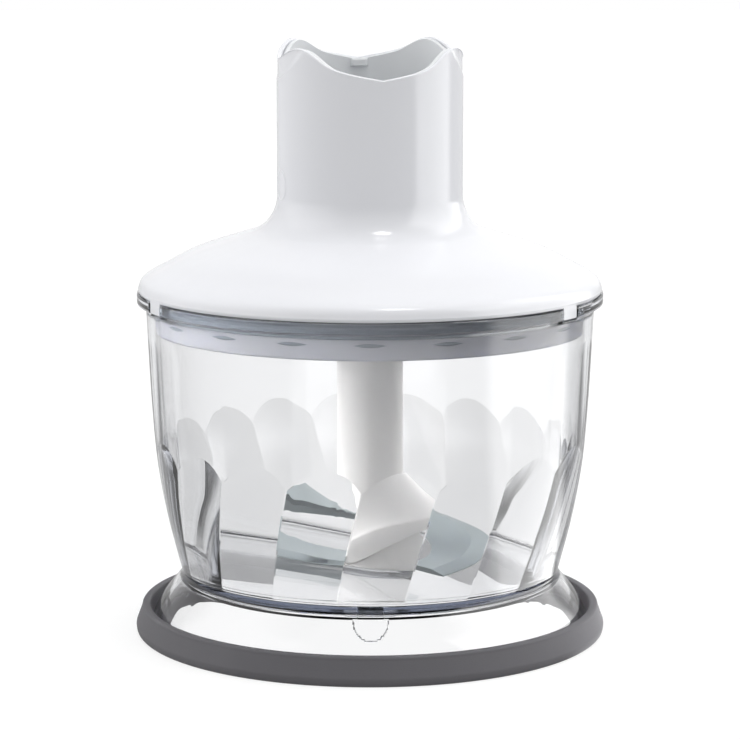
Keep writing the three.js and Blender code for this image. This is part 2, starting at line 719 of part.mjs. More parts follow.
// Height of the neck's edge above its lowest point, round from its own front: low at the front and the back,
// with two peaks and a dip between them at each side.
const neckEdge = new THREE.SplineCurve([
  new THREE.Vector2(0, 0),
  new THREE.Vector2(30, 3.0),
  new THREE.Vector2(56, 8.6),
  new THREE.Vector2(92, 5.0),
  new THREE.Vector2(128, 10.0),
  new THREE.Vector2(154, 6.0),
  new THREE.Vector2(180, 3.6),
]);
const edgeSteps = 60;
const edgeHeights = neckEdge.getPoints(edgeSteps);
const edgeHeight = (angle) => {
  const around180 = Math.abs(THREE.MathUtils.euclideanModulo(angle + 180, 360) - 180);
  const k = Math.max(1, edgeHeights.findIndex((p) => p.x >= around180 - 1e-6));
  const [a, b] = [edgeHeights[k - 1], edgeHeights[k]];
  return THREE.MathUtils.mapLinear(around180, a.x, b.x, a.y, b.y);
};
// Everything above the neck's edge, for cutting both of its walls.
const aboveEdge = (lowered) =>
  solid(
    skin(
      Array.from({ length: edgeSteps }, (_, i) => {
        const angle = (i * 360) / edgeSteps;
        const low = neckLow + edgeHeight(angle - neckTurn) - lowered;
        const [inner, outer] = [neckRadius - 8, neckRadius + 4];
        return [
          around(outer, angle, low),
          around(inner, angle, low),
          around(inner, angle, neckSpare + 5),
          around(outer, angle, neckSpare + 5),
        ];
      }),
      true,
    ),
  );
const shellBosses = atScrews(
  tube(screwRadius + 2.4, screwRadius + GAP, coverTop + GAP, lidEdge + 0.62 * domeRise, 20),
);
const shellLugs = lugAngles.map((angle) => {
  const [from, to] = [angle - lugSweep / 2, angle + lugSweep / 2];
  return solid(sector(rimRadius - 0.2, lugInner, from, to, bowlHeight - lugDepth, lidEdge + 1));
});
let shell = shellBody.subtract(aboveEdge(0));
for (const piece of [...shellBosses, ...shellLugs]) shell = shell.add(piece);
add(lidUnit, "lid_shell", geometryOf(shell), whiteGloss);

// ---- Cover screws ----
for (const [i, angle] of screwAngles.entries()) {
  const screw = turned(
    [
      [0, coverUnder - GAP - 1.7],
      [screwRadius + 0.9, coverUnder - GAP - 1.7],
      [screwRadius + 1.5, coverUnder - GAP - 1.0],
      [screwRadius + 1.5, coverUnder - GAP],
      [screwRadius, coverUnder - GAP],
      [screwRadius, coverTop + 6],
      [0, coverTop + 7],
    ],
    16,
  );
  add(lidUnit, `cover_screw_${i + 1}`, screw, steel).position.copy(around(screwCircle, angle, 0));
}

// ---- Socket cup: the inside of the neck, which takes the motor part ----
const cupOuter = neckRadius - neckWall - GAP;
const cupInner = cupOuter - linerWall;
const cupBody = solid(
  turned([
    [inputBushRadius + GAP, cupFloorLow],
    [ringOutside, cupFloorLow],
    [cupOuter, cupFloorLow + 2.2],
    [cupOuter, neckSpare - 1],
    [cupInner, neckSpare - 1],
    [cupInner, cupFloorTop],
    [inputFlangeRadius + GAP, cupFloorTop],
    [inputFlangeRadius + GAP, inputFlangeLow - GAP],
    [inputBushRadius + GAP, inputFlangeLow - GAP],
    [inputBushRadius + GAP, cupFloorLow],
  ]),
);
// A tab at the back lines the motor part up, and a window at each side takes its catches.
const tabHeight = 2.4;
const tab = solid(
  block(cupInner - 0.2, 180 + neckTurn, 2.0, 5.4, neckLow + 3.4 - tabHeight, neckLow + 3.4),
);
const windows = [90, -90].map((side) =>
  solid(block(cupInner + 0.4, side + neckTurn, 5, 9, neckLow - 7, neckLow - 3)),
);
let cup = cupBody.subtract(aboveEdge(0.4)).add(tab);
for (const hole of windows) cup = cup.subtract(hole);
add(lidUnit, "socket_cup", geometryOf(cup), whiteSatin);

export default part;
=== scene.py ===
import math

import bpy
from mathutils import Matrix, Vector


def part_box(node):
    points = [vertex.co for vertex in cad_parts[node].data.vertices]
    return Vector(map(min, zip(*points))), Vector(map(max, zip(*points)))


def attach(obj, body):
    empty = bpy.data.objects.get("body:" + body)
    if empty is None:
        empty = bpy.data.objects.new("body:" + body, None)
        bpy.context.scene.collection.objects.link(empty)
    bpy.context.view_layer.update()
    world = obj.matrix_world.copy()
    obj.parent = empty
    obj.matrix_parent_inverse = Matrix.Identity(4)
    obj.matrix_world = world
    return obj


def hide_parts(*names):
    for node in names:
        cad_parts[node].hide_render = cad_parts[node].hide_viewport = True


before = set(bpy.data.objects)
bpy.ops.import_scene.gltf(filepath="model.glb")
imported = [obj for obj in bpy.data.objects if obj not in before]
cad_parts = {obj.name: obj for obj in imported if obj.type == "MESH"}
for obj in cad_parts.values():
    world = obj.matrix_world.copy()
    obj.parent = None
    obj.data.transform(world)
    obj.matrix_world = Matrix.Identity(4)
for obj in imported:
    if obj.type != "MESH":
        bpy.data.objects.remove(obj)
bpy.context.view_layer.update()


# ---- Bowl ----
# Clear SAN, injection moulded in one piece with its flared foot, its rim and the boss for the pin. Eighteen
# flat panels lean round the lower inside, so that food tumbles back into the blades. All lengths here are
# millimetres, and angles are degrees from the front towards +X.
MM = 0.001
BOWL_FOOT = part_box("bowl")[0].z / MM  # the skirt's edge, inside the foot ring
BOWL_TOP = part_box("bowl")[1].z / MM
RIM_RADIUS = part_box("bowl")[1].y / MM
FLOOR_TOP = 19.7
FLOOR_UNDER = 16.6
SKIRT_RADIUS = 64.8
SKIRT_MIDDLE = 58  # the skirt's radius at the half-round mark
SKIRT_WALL = 2.4
WAIST = (56.2, 19.0)  # radius and height where the skirt flares out from the wall
WALL_TOP = (66.0, 96.4)
MOUTH_RADIUS = 63.4
MOUTH_DEPTH = 12.5
PANELS = 18
PANEL_TOP = 59.6
PANEL_WALL = 3.2  # plastic behind the middle of a panel
PANEL_THIN = (48, 0.8)  # height from which that wall thins, and how much thinner it is at the top
PANEL_ARCH = 6.2  # how far a panel's rounded top drops from its middle to its sides
PANEL_FILLET = 1.8
PANEL_LEAN = -9.4  # degrees between the panels' top and the floor
PANEL_PHASE = -0.7
RIDGE_WIDTH = 0.22  # degrees, half of the rounded ridge between two panels
LUG_ANGLES = [56, 176, 296]
LUG_HALF = 3.0  # degrees
NOTCH_HALF = LUG_HALF + 0.25
NOTCH_FLOOR = 98.6
MARK_ANGLE = 0.2
MARK_RADIUS = 4.9  # of the half-round mark on the skirt, below the small block
MARK_TOP = 16.4
MARK_RELIEF = 0.8
BLOCK_HALF = 3.75
BLOCK_HEIGHT = 3.0
BLOCK_RELIEF = 0.35
PIN_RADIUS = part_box("centre_pin")[1].y / MM


def around(radius, angle, height):
    """The point at a radius, an angle from the front and a height."""
    turn = math.radians(angle)
    return (radius * math.sin(turn), -radius * math.cos(turn), height)


def offset(angle, middle):
    """Degrees from the middle to the angle, from -180 to 180."""
    return (angle - middle + 180) % 360 - 180


def near_lug(angle, half):
    return any(abs(offset(angle, lug)) < half for lug in LUG_ANGLES)


def rings(line, angles):
    """A row of points round the axis for each radius and height of the profile."""
    return [[around(radius, angle, height) for angle in angles] for radius, height in line]


def stepped_ring(whole, other, angles, half):
    """A row of points through one point of the profile, or through the other within half of each lug."""
    row = []
    for angle in angles:
        radius, height = other if near_lug(angle, half) else whole
        row.append(around(radius, angle, height))
    return row


def smoothstep(low, high, value):
    share = min(1.0, max(0.0, (value - low) / (high - low)))
    return share * share * (3 - 2 * share)


def spline(points, steps):
    """A smooth line through the points, with that many steps in all."""
    line = []
    spans = len(points) - 1
    for step in range(steps + 1):
        place = spans * step / steps
        i = min(int(place), spans - 1)
        t = place - i
        before, start = points[max(i - 1, 0)], points[i]
        end, after = points[i + 1], points[min(i + 2, spans)]
        line.append(tuple(
            (2 * t**3 - 3 * t**2 + 1) * s + (t**3 - 2 * t**2 + t) * (e - b) / 2
            + (3 * t**2 - 2 * t**3) * e + (t**3 - t**2) * (a - s) / 2
            for b, s, e, a in zip(before, start, end, after)
        ))
    return line


def arc(centre, radius, start, end, steps):
    """Points on an arc in the profile, with angles in degrees from +radius towards +height."""
    turns = [math.radians(start + (end - start) * i / steps) for i in range(steps + 1)]
    return [(centre[0] + radius * math.cos(t), centre[1] + radius * math.sin(t)) for t in turns]


def make_piece(name, rows, material, body, nodes, crease=30, joined=False):
    """A closed skin over rows of points, each a loop, smooth except where it bends by more than crease."""
    size = len(rows[0])
    points = [tuple(MM * c for c in point) for row in rows for point in row]
    faces = []
    for i in range(len(rows) if joined else len(rows) - 1):
        low, high = i * size, (i + 1) % len(rows) * size
        for j in range(size):
            k = (j + 1) % size
            faces.append((low + j, low + k, high + k, high + j))
    if not joined:
        for row, turned in ((0, True), (len(rows) - 1, False)):
            middle = len(points)
            loop = points[row * size:(row + 1) * size]
            points.append(tuple(sum(p[c] for p in loop) / size for c in range(3)))
            for j in range(size):
                pair = (row * size + j, row * size + (j + 1) % size)
                faces.append((middle, pair[1], pair[0]) if turned else (middle, *pair))
    mesh = bpy.data.meshes.new(name)
    mesh.from_pydata(points, [], faces)
    return finish_piece(name, mesh, material, body, nodes, crease)


def finish_piece(name, mesh, material, body, nodes, crease=30):
    """Smooths a mesh and makes it a piece that rides on a body and stands for CAD nodes."""
    mesh.polygons.foreach_set("use_smooth", [True] * len(mesh.polygons))
    mesh.set_sharp_from_angle(angle=math.radians(crease))
    mesh.materials.clear()
    mesh.materials.append(material)
    piece = bpy.data.objects.new(name, mesh)
    bpy.context.scene.collection.objects.link(piece)
    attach(piece, body)
    if nodes:
        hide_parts(*nodes)
    return piece


def linear(colour):
    """The linear values of an sRGB hex colour."""
    parts = [int(colour[i:i + 2], 16) / 255 for i in (1, 3, 5)]
    return (*(c / 12.92 if c <= 0.04045 else ((c + 0.055) / 1.055) ** 2.4 for c in parts), 1.0)


def add_node(tree, kind, sockets=None, **settings):
    """Adds a node. A socket takes a value, another node's output, or a node for its first output."""
    made = tree.nodes.new(kind)
    for name, value in settings.items():
        setattr(made, name, value)
    for name, value in (sockets or {}).items():
        if isinstance(value, bpy.types.Node):
            value = value.outputs[0]
        if isinstance(value, bpy.types.NodeSocket):
            tree.links.new(value, made.inputs[name])
        else:
            made.inputs[name].default_value = value
    return made


def start_material(name):
    """A new material, its tree, and the place on the object that its patterns go by."""
    material = bpy.data.materials.new(name)
    material.use_nodes = True
    tree = material.node_tree
    tree.nodes.clear()
    return material, tree, add_node(tree, "ShaderNodeTexCoord").outputs["Object"]


def mottle(tree, place, scale, detail, low, high):
    """A colour that drifts between two hex colours."""
    cloud = add_node(tree, "ShaderNodeTexNoise", {"Vector": place, "Scale": scale, "Detail": detail})
    return add_node(tree, "ShaderNodeMix", {"Factor": cloud, 6: linear(low), 7: linear(high)},
                    data_type="RGBA").outputs[2]


def skin(tree, place, scale, detail, low, high):
    """A noise for the grain of a surface, and a roughness that goes between two values with it."""
    grain = add_node(tree, "ShaderNodeTexNoise", {"Vector": place, "Scale": scale, "Detail": detail})
    return grain, add_node(tree, "ShaderNodeMapRange", {"Value": grain, "To Min": low, "To Max": high})


def end_material(tree, surface, volume=None):
    sockets = {"Surface": surface, "Volume": volume} if volume else {"Surface": surface}
    add_node(tree, "ShaderNodeOutputMaterial", sockets)


# SAN is as clear as glass in a thin wall, and grey-blue where light runs a long way through it. The mould
# was polished, so only a faint waviness shows.
clear_san, tree, place = start_material("clear_moulded_san")
flow = add_node(tree, "ShaderNodeTexNoise", {"Vector": place, "Scale": 45.0, "Detail": 1.0})
wave = add_node(tree, "ShaderNodeBump", {"Height": flow, "Strength": 0.02, "Distance": 0.001})
clear = add_node(tree, "ShaderNodeBsdfPrincipled", {
    "Base Color": linear("#fdfdfd"), "Roughness": 0.0, "IOR": 1.53, "Transmission Weight": 1.0,
    "Normal": wave,
})
depth = add_node(tree, "ShaderNodeVolumeAbsorption", {"Color": (0.3, 0.35, 0.47, 1), "Density": 24.0})
end_material(tree, clear, depth)

pitch = 360 / PANELS

# Angles of the bowl's columns of points: some on each panel, two beside each ridge, two at each side of a
# notch, and close ones where the half-round mark stands on the skirt.
panel_steps = [RIDGE_WIDTH, *(1.2 + 2.2 * i for i in range(9)), pitch - RIDGE_WIDTH]
columns = [PANEL_PHASE + pitch * i + step for i in range(PANELS) for step in panel_steps]
columns += [angle + edge + step for angle in LUG_ANGLES for edge in (-NOTCH_HALF, NOTCH_HALF)
            for step in (-0.03, 0.03)]
columns += [MARK_ANGLE + 0.3 * step for step in range(-22, 23)]
columns = sorted({round(c % 360, 2) for c in columns})


def panel_share(angle):
    """How much further out a panel is at this angle than at its middle."""
    across = (angle - PANEL_PHASE) % pitch
    across = min(max(across, RIDGE_WIDTH), pitch - RIDGE_WIDTH)
    return 1 / math.cos(math.radians(across - pitch / 2))


def lean(height):
    """How far the panels have turned round the axis at a height."""
    return PANEL_LEAN * min(1.0, max(0.0, (PANEL_TOP - height) / (PANEL_TOP - FLOOR_TOP)))


wall_spread = WALL_TOP[0] - WAIST[0]
wall_rise = BOWL_TOP - FLOOR_TOP
skirt_line = spline([
    (SKIRT_RADIUS, BOWL_FOOT + 0.5), (SKIRT_RADIUS - 0.1, BOWL_FOOT + 2.2),
    (WAIST[0] + 0.7 * (SKIRT_RADIUS - WAIST[0]), BOWL_FOOT + 0.52 * (FLOOR_UNDER - BOWL_FOOT)),
    (WAIST[0] + 0.7, FLOOR_UNDER + 0.2), WAIST,
], 72)
wall_line = spline([
    WAIST, (WAIST[0] + 0.4 * wall_spread, FLOOR_TOP + 0.18 * wall_rise),
    (WAIST[0] + 0.7 * wall_spread, FLOOR_TOP + 0.38 * wall_rise),
    (WAIST[0] + 0.86 * wall_spread, FLOOR_TOP + 0.6 * wall_rise), WALL_TOP,
], 48)
under_line = [(r - SKIRT_WALL, z) for r, z in skirt_line if z < FLOOR_UNDER - 0.9]


def wall_radius(height):
    for (r0, z0), (r1, z1) in zip(wall_line, wall_line[1:]):
        if height <= z1:
            return r0 + (r1 - r0) * (height - z0) / (z1 - z0)
    return WALL_TOP[0]


def panel_radius(height):
    """How far out the middle of a panel is: the wall thins a little towards the panels' top."""
    start, most = PANEL_THIN
    share = max(0.0, (height - start) / (PANEL_TOP - start))
    return wall_radius(height) - PANEL_WALL + most * share**2


def mark(angle, height):
    """How far the half-round mark, and the small block over it, lift the skirt's outside."""
    across = math.radians(offset(angle, MARK_ANGLE)) * SKIRT_MIDDLE
    up = height - MARK_TOP
    if up > 0:
        beside = smoothstep(BLOCK_HALF - 0.15, BLOCK_HALF + 0.15, abs(across))
        return BLOCK_RELIEF * (1 - beside) * (1 - smoothstep(BLOCK_HEIGHT - 0.2, BLOCK_HEIGHT + 0.2, up))
    away = math.hypot(across, 0.96 * up)
    return MARK_RELIEF * (1 - smoothstep(MARK_RADIUS - 0.15, MARK_RADIUS + 0.15, away))


under_profile = [
    (2.0, FLOOR_UNDER - 2.2), (6.9, FLOOR_UNDER - 2.2), (7.4, FLOOR_UNDER - 1.6), (7.9, FLOOR_UNDER - 0.3),
    (8.3, FLOOR_UNDER), (20, FLOOR_UNDER), (35, FLOOR_UNDER), (47, FLOOR_UNDER),
    *arc((52.6, FLOOR_UNDER - 1.6), 1.6, 84, 33, 5), *reversed(under_line),
    *arc((SKIRT_RADIUS - SKIRT_WALL + 0.6, BOWL_FOOT + 0.6), 0.6, 180, 270, 4),
    *arc((SKIRT_RADIUS - 0.6, BOWL_FOOT + 0.6), 0.6, 270, 350, 4),
]
rows = rings(under_profile, columns)
rows += [[around(r + mark(c, z), c, z) for c in columns] for r, z in skirt_line]
rows += rings(wall_line[1:], columns)

# The rim's profile, and the same one where a notch cuts it down.
rim_shape = [
    ((66.25, 97.4), (66.25, 97.4)), ((66.9, 98.2), (66.8, 97.8)), ((68.2, 98.9), (68.1, 98.1)),
    ((68.6, 99.2), (68.4, 98.3)), ((68.7, 99.7), (68.5, 98.45)), ((68.7, 101.6), (68.5, NOTCH_FLOOR - 0.05)),
    ((68.6, 101.9), (68.4, NOTCH_FLOOR)), ((68.3, 102.0), (68.2, NOTCH_FLOOR)),
    ((66.6, 102.0), (66.6, NOTCH_FLOOR)), ((66.5, 102.0), (66.5, NOTCH_FLOOR + 0.1)),
    ((66.4, 102.0), (66.5, 101.8)), ((66.2, 102.0), (66.3, 102.0)),
]
rows += [stepped_ring(whole, cut, columns, NOTCH_HALF) for whole, cut in rim_shape]
mouth_low = BOWL_TOP - MOUTH_DEPTH
rows += rings(arc((MOUTH_RADIUS + 0.7, BOWL_TOP - 0.7), 0.7, 90, 180, 6), columns)
rows += rings([(MOUTH_RADIUS, z) for z in (99, 96, 93, mouth_low + 0.5)], columns)

# Below the mouth, each column runs down to the rounded top of its panel, down the panel, and round into the
# floor.
side_share = 1 / math.cos(math.radians(pitch / 2)) - 1
arch = {c: PANEL_TOP - PANEL_ARCH * (panel_share(c) - 1) / side_share for c in columns}
for share in [i / 10 for i in range(10)] + [0.97]:
    row = []
    for c in columns:
        reach = panel_radius(arch[c]) * panel_share(c) - MOUTH_RADIUS
        row.append(around(MOUTH_RADIUS + share * reach, c, mouth_low + share * (arch[c] - mouth_low)))
    rows.append(row)
fillet_top = FLOOR_TOP + PANEL_FILLET
for share in [i / 26 for i in range(27)]:
    row = []
    for c in columns:
        z = arch[c] + share * (fillet_top - arch[c])
        row.append(around(panel_radius(z) * panel_share(c), c + lean(z), z))
    rows.append(row)
for step in range(1, 13):
    turn = math.radians(90 * step / 12)
    z = FLOOR_TOP + PANEL_FILLET * (1 - math.sin(turn))
    middle = panel_radius(fillet_top) - PANEL_FILLET * (1 - math.cos(turn))
    rows.append([around(middle * panel_share(c), c + lean(z), z) for c in columns])
for radius, flat in ((44, 0.6), (38, 0.2), (28, 0), (16, 0), (8.1, 0)):
    rows.append([around(radius * (1 + flat * (panel_share(c) - 1)), c + PANEL_LEAN, FLOOR_TOP)
                 for c in columns])
boss_line = [(7.4, 19.8), (6.9, 20.3), (6.6, 21.1), (5.6, 26.6), (5.3, 26.9), (PIN_RADIUS + 0.5, 27.0),
             (PIN_RADIUS + 0.06, 26.8), (PIN_RADIUS + 0.06, 16.2)]
rows += rings(boss_line, [c + PANEL_LEAN for c in columns])
make_piece("bowl_body", rows, clear_san, "bowl_unit", ["bowl"], crease=8)


# ---- Foot ring ----
# A soft ring of grey thermoplastic rubber, moulded with a groove and pressed over the skirt's edge. Its
# outside slopes, and its lip stands a little off the clear skirt.
FOOT_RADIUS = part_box("foot_ring")[1].y / MM
FOOT_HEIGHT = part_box("foot_ring")[1].z / MM
GROOVE = SKIRT_RADIUS + 0.3
ROUND_STEPS = 192  # steps round a plain turned piece

# Rubber has a fine spark-eroded grain that makes it matt, and it catches a little light along its edges.
grey_rubber, tree, place = start_material("grey_thermoplastic_rubber")
grain, dull = skin(tree, place, 2600.0, 2.0, 0.62, 0.8)
tone = mottle(tree, place, 60.0, 2.0, "#656468", "#6d6c70")
pits = add_node(tree, "ShaderNodeBump", {"Height": grain, "Strength": 0.25, "Distance": 0.0001})
end_material(tree, add_node(tree, "ShaderNodeBsdfPrincipled", {
    "Base Color": tone, "Roughness": dull, "IOR": 1.5, "Normal": pits,
}))

whole_turn = [360 * j / ROUND_STEPS for j in range(ROUND_STEPS)]
foot_profile = [
    (61.6, 0.05), (62.4, 0.0), (68.4, 0.0), *arc((68.4, 1.5), 1.5, -80, -8, 7), (FOOT_RADIUS, 2.3),
    (FOOT_RADIUS - 0.1, 2.9), (68.25, 7.3), *arc((67.35, 7.75), 0.85, -5, 95, 7), (66.5, FOOT_HEIGHT - 0.1),
    *arc((66.2, 7.9), 0.6, 95, 170, 4), (65.4, 6.0), (GROOVE, 5.0), (GROOVE, 3.1), (GROOVE - 0.2, 2.9),
    (62.3, 2.9), (62.1, 3.1), (62.1, 5.0), (61.9, 5.2), (61.2, 5.2), (61.0, 5.0), (60.8, 4.6), (60.8, 0.9),
    (61.1, 0.3),
]
make_piece("foot_ring_rubber", rings(foot_profile, whole_turn), grey_rubber, "bowl_unit", ["foot_ring"],
           joined=True)


# ---- Lid shell ----
# Gloss white ABS: a shallow dome that runs up in a fillet into the neck. The neck's edge waves round, low at
# the front and the back, and under each side dip a lens-shaped panel is let in. Three lugs hang into the rim.
LID_EDGE = BOWL_TOP + 0.3
LID_RADIUS = RIM_RADIUS - 0.4
DOME_RISE = 17.4
LID_WALL = 2.2
NECK_RADIUS = 27.3
NECK_WALL = 1.5
NECK_FILLET = 11.5
NECK_LOW = 165.5  # the neck's edge at its front dip
NECK_TURN = 8.0  # degrees that the neck is turned from the front
DOME_SLOPE = 20.0
EDGE_ROUND = 0.5
SEAM_DEPTH = 0.3
SEAM_LOW = 164.6
SEAM_RISE = 9.2
SEAM_HALF = 38
SEAM_START = 156.0  # where the neck's rows begin to follow its edge
LUG_LOW = BOWL_TOP - 3.1

# Polished ABS has a clear shine over a body colour that is almost pure white, and the moulding leaves a
# very slight ripple in what it reflects.
white_abs, tree, place = start_material("gloss_white_abs")
ripple, shine = skin(tree, place, 70.0, 1.0, 0.1, 0.16)
sink = add_node(tree, "ShaderNodeBump", {"Height": ripple, "Strength": 0.03, "Distance": 0.001})
end_material(tree, add_node(tree, "ShaderNodeBsdfPrincipled", {
    "Base Color": linear("#f1f2f6"), "Roughness": shine, "IOR": 1.53, "Normal": sink,
}))

# The neck's edge: degrees from its front, and height above the front dip.
edge_line = spline([(0, 0), (30, 3.0), (56, 8.6), (92, 5.0), (128, 10.0), (154, 6.0), (180, 3.6)], 180)


def edge_height(angle):
    """Height of the neck's edge at an angle from the front."""
    away = abs(offset(angle, NECK_TURN))
    for (a0, h0), (a1, h1) in zip(edge_line, edge_line[1:]):
        if away <= a1:
            return NECK_LOW + h0 + (h1 - h0) * (away - a0) / (a1 - a0)
    return NECK_LOW + edge_line[-1][1]


def seam_height(angle):
    """Height of the seam under the side panels: an arc that meets the edge at both sides of the dip."""
    away = abs(offset(angle, NECK_TURN)) - 91
    return SEAM_LOW + SEAM_RISE * (away / SEAM_HALF) ** 2


lid_columns = [2.0 * i for i in range(180)]
lid_columns += [angle + edge + step for angle in LUG_ANGLES for edge in (-LUG_HALF, LUG_HALF)
                for step in (-0.03, 0.03)]
lid_columns = sorted({round(c % 360, 2) for c in lid_columns})

# The fillet from the dome into the neck, as an arc about its centre.
fillet_side = NECK_FILLET * math.sin(math.radians(DOME_SLOPE))
fillet_rise = NECK_FILLET * math.cos(math.radians(DOME_SLOPE))
fillet_end = (NECK_RADIUS + NECK_FILLET - fillet_side, LID_EDGE + DOME_RISE)
fillet_centre = (NECK_RADIUS + NECK_FILLET, fillet_end[1] + fillet_rise)
dome_line = spline([
    (LID_RADIUS, LID_EDGE + 1.0), (LID_RADIUS - 1.5, LID_EDGE + 3.9), (LID_RADIUS - 7.6, LID_EDGE + 7.4),
    ((LID_RADIUS + fillet_end[0]) / 2, LID_EDGE + 0.69 * DOME_RISE), fillet_end,
], 64)
neck_curve = arc(fillet_centre, NECK_FILLET, 270 - DOME_SLOPE, 180, 24)
outside_line = [(LID_RADIUS - 0.05, LID_EDGE + 0.45), *dome_line, *neck_curve[1:]]
inside_line = [(r - LID_WALL * 0.6, z - LID_WALL) for r, z in dome_line[14:]]
inside_line += [(r - NECK_WALL - 0.3, z - 0.8) for r, z in neck_curve[10:]]
neck_start = fillet_centre[1]


def neck_point(angle, height, inside):
    """A point on the neck. Its outside steps in a little above the seam."""
    sunk = 0.0 if inside else SEAM_DEPTH * smoothstep(-0.25, 0.25, height - seam_height(angle))
    return around(NECK_RADIUS - (NECK_WALL if inside else sunk), angle, height)


# The lid's lower edge, and the same where a lug hangs from it.
lip = [((66.9, LID_EDGE + 2.6), (66.9, LID_EDGE + 2.6)), ((66.65, LID_EDGE + 0.3), (66.75, LUG_LOW + 0.3)),
       ((66.9, LID_EDGE), (66.95, LUG_LOW)), ((67.8, LID_EDGE), (68.15, LUG_LOW)),
       ((68.1, LID_EDGE + 0.1), (68.4, LUG_LOW + 0.25)), ((68.2, LID_EDGE + 0.3), (68.4, LID_EDGE))]
neck_ends = {c: edge_height(c) - EDGE_ROUND for c in lid_columns}
rows = [stepped_ring(whole, lug, lid_columns, LUG_HALF) for whole, lug in lip]
rows += rings(outside_line, lid_columns)
for share in [i / 10 for i in range(1, 11)]:
    height = neck_start + share * (SEAM_START - neck_start)
    rows.append([neck_point(c, height, False) for c in lid_columns])
for share in [i / 44 for i in range(1, 45)]:
    rows.append([neck_point(c, SEAM_START + share * (end - SEAM_START), False)
                 for c, end in neck_ends.items()])
for step in range(1, 8):
    turn = math.radians(180 * step / 8)
    radius = NECK_RADIUS - NECK_WALL / 2 * (1 - math.cos(turn))
    rows.append([around(radius, c, end + EDGE_ROUND * math.sin(turn)) for c, end in neck_ends.items()])
for share in [i / 12 for i in range(13)]:
    rows.append([neck_point(c, end + share * (neck_start + 4 - end), True) for c, end in neck_ends.items()])
rows += rings(reversed(inside_line), lid_columns)
make_piece("lid_shell_gloss", rows, white_abs, "lid", ["lid_shell"], crease=25, joined=True)


# ---- Socket cup ----
# Satin white ABS: the inner wall of the neck, which the motor part's end is pushed into. It is welded inside
# the lid shell and ends a little below the neck's edge. Each side has a pocket for a catch.
CUP_OUTER = NECK_RADIUS - NECK_WALL - 0.3
CUP_INNER = CUP_OUTER - 1.5
CUP_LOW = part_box("socket_cup")[0].z / MM
CUP_FLOOR = CUP_LOW + 2.6
CUP_EDGE = 0.4  # how far the cup ends below the neck's edge
BUSH_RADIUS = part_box("input_bush")[1].x / MM
POCKET = (NECK_LOW - 7, NECK_LOW - 3)
POCKET_HALF = 10.7  # degrees
POCKET_DEPTH = 1.1
TAB_HALF = 6.4  # degrees
TAB_TOP = NECK_LOW + 3.3

# The inside of a moulding is left as it comes off fine-eroded steel, so it is duller than the outside.
satin_abs, tree, place = start_material("satin_white_abs")
grain, dull = skin(tree, place, 2200.0, 2.0, 0.36, 0.46)
pits = add_node(tree, "ShaderNodeBump", {"Height": grain, "Strength": 0.1, "Distance": 0.0001})
end_material(tree, add_node(tree, "ShaderNodeBsdfPrincipled", {
    "Base Color": linear("#eceef0"), "Roughness": dull, "IOR": 1.53, "Normal": pits,
}))

cup_columns = [2.0 * i for i in range(180)]
cup_columns += [side + edge + step for side in (90, 270) for edge in (-POCKET_HALF, POCKET_HALF)
                for step in (-0.2, 0.2)]
cup_columns = sorted({round((c + NECK_TURN) % 360, 2) for c in cup_columns})


def in_pocket(angle):
    return any(abs(offset(angle, NECK_TURN + side)) < POCKET_HALF for side in (90, 270))


cup_start = CUP_LOW + 2.4
cup_profile = [(BUSH_RADIUS + 0.3, CUP_FLOOR - 0.15), (BUSH_RADIUS + 0.3, CUP_FLOOR - 1.6),
               (4.9, CUP_FLOOR - 1.6), (4.9, CUP_LOW), (24.6, CUP_LOW), (25.0, CUP_LOW + 0.2),
               (CUP_OUTER, cup_start)]
cup_ends = {c: edge_height(c) - CUP_EDGE - EDGE_ROUND for c in cup_columns}
rows = rings(cup_profile, cup_columns)
for share in [i / 12 for i in range(1, 13)]:
    rows.append([around(CUP_OUTER, c, cup_start + share * (end - cup_start)) for c, end in cup_ends.items()])
for step in range(1, 6):
    turn = math.radians(30 * step)
    radius = CUP_OUTER - 0.75 * (1 - math.cos(turn))
    rows.append([around(radius, c, end + EDGE_ROUND * math.sin(turn)) for c, end in cup_ends.items()])
for level in (NECK_LOW - 1, POCKET[1] + 0.1, POCKET[1] - 0.1, POCKET[0] + 0.1, POCKET[0] - 0.1, 150, 135,
              CUP_FLOOR + 1.5):
    sunk = POCKET_DEPTH if POCKET[0] < level < POCKET[1] else 0.0
    rows.append([around(CUP_INNER + (sunk if in_pocket(c) else 0.0), c, level) for c in cup_columns])
rows += rings(arc((CUP_INNER - 1.5, CUP_FLOOR + 1.5), 1.5, -10, -90, 5), cup_columns)
rows += rings([(BUSH_RADIUS + 0.45, CUP_FLOOR)], cup_columns)
make_piece("socket_cup_wall", rows, satin_abs, "lid", ["socket_cup"], crease=25, joined=True)

# The tab at the back of the socket, which lines the motor part up.
rows = []
for c in [180 + NECK_TURN + TAB_HALF * (i / 8 - 1) for i in range(17)]:
    aside = abs(c - 180 - NECK_TURN) / TAB_HALF
    inner = CUP_INNER - 1.2 * math.sqrt(max(0.0, 1 - aside**6)) - 0.05
    rows.append([around(CUP_INNER + 0.2, c, TAB_TOP - 2.4), around(inner, c, TAB_TOP - 2.1),
                 around(inner, c, TAB_TOP - 0.4), around(inner + 0.3, c, TAB_TOP),
                 around(CUP_INNER + 0.2, c, TAB_TOP)])
make_piece("socket_tab", rows, satin_abs, "lid", [])


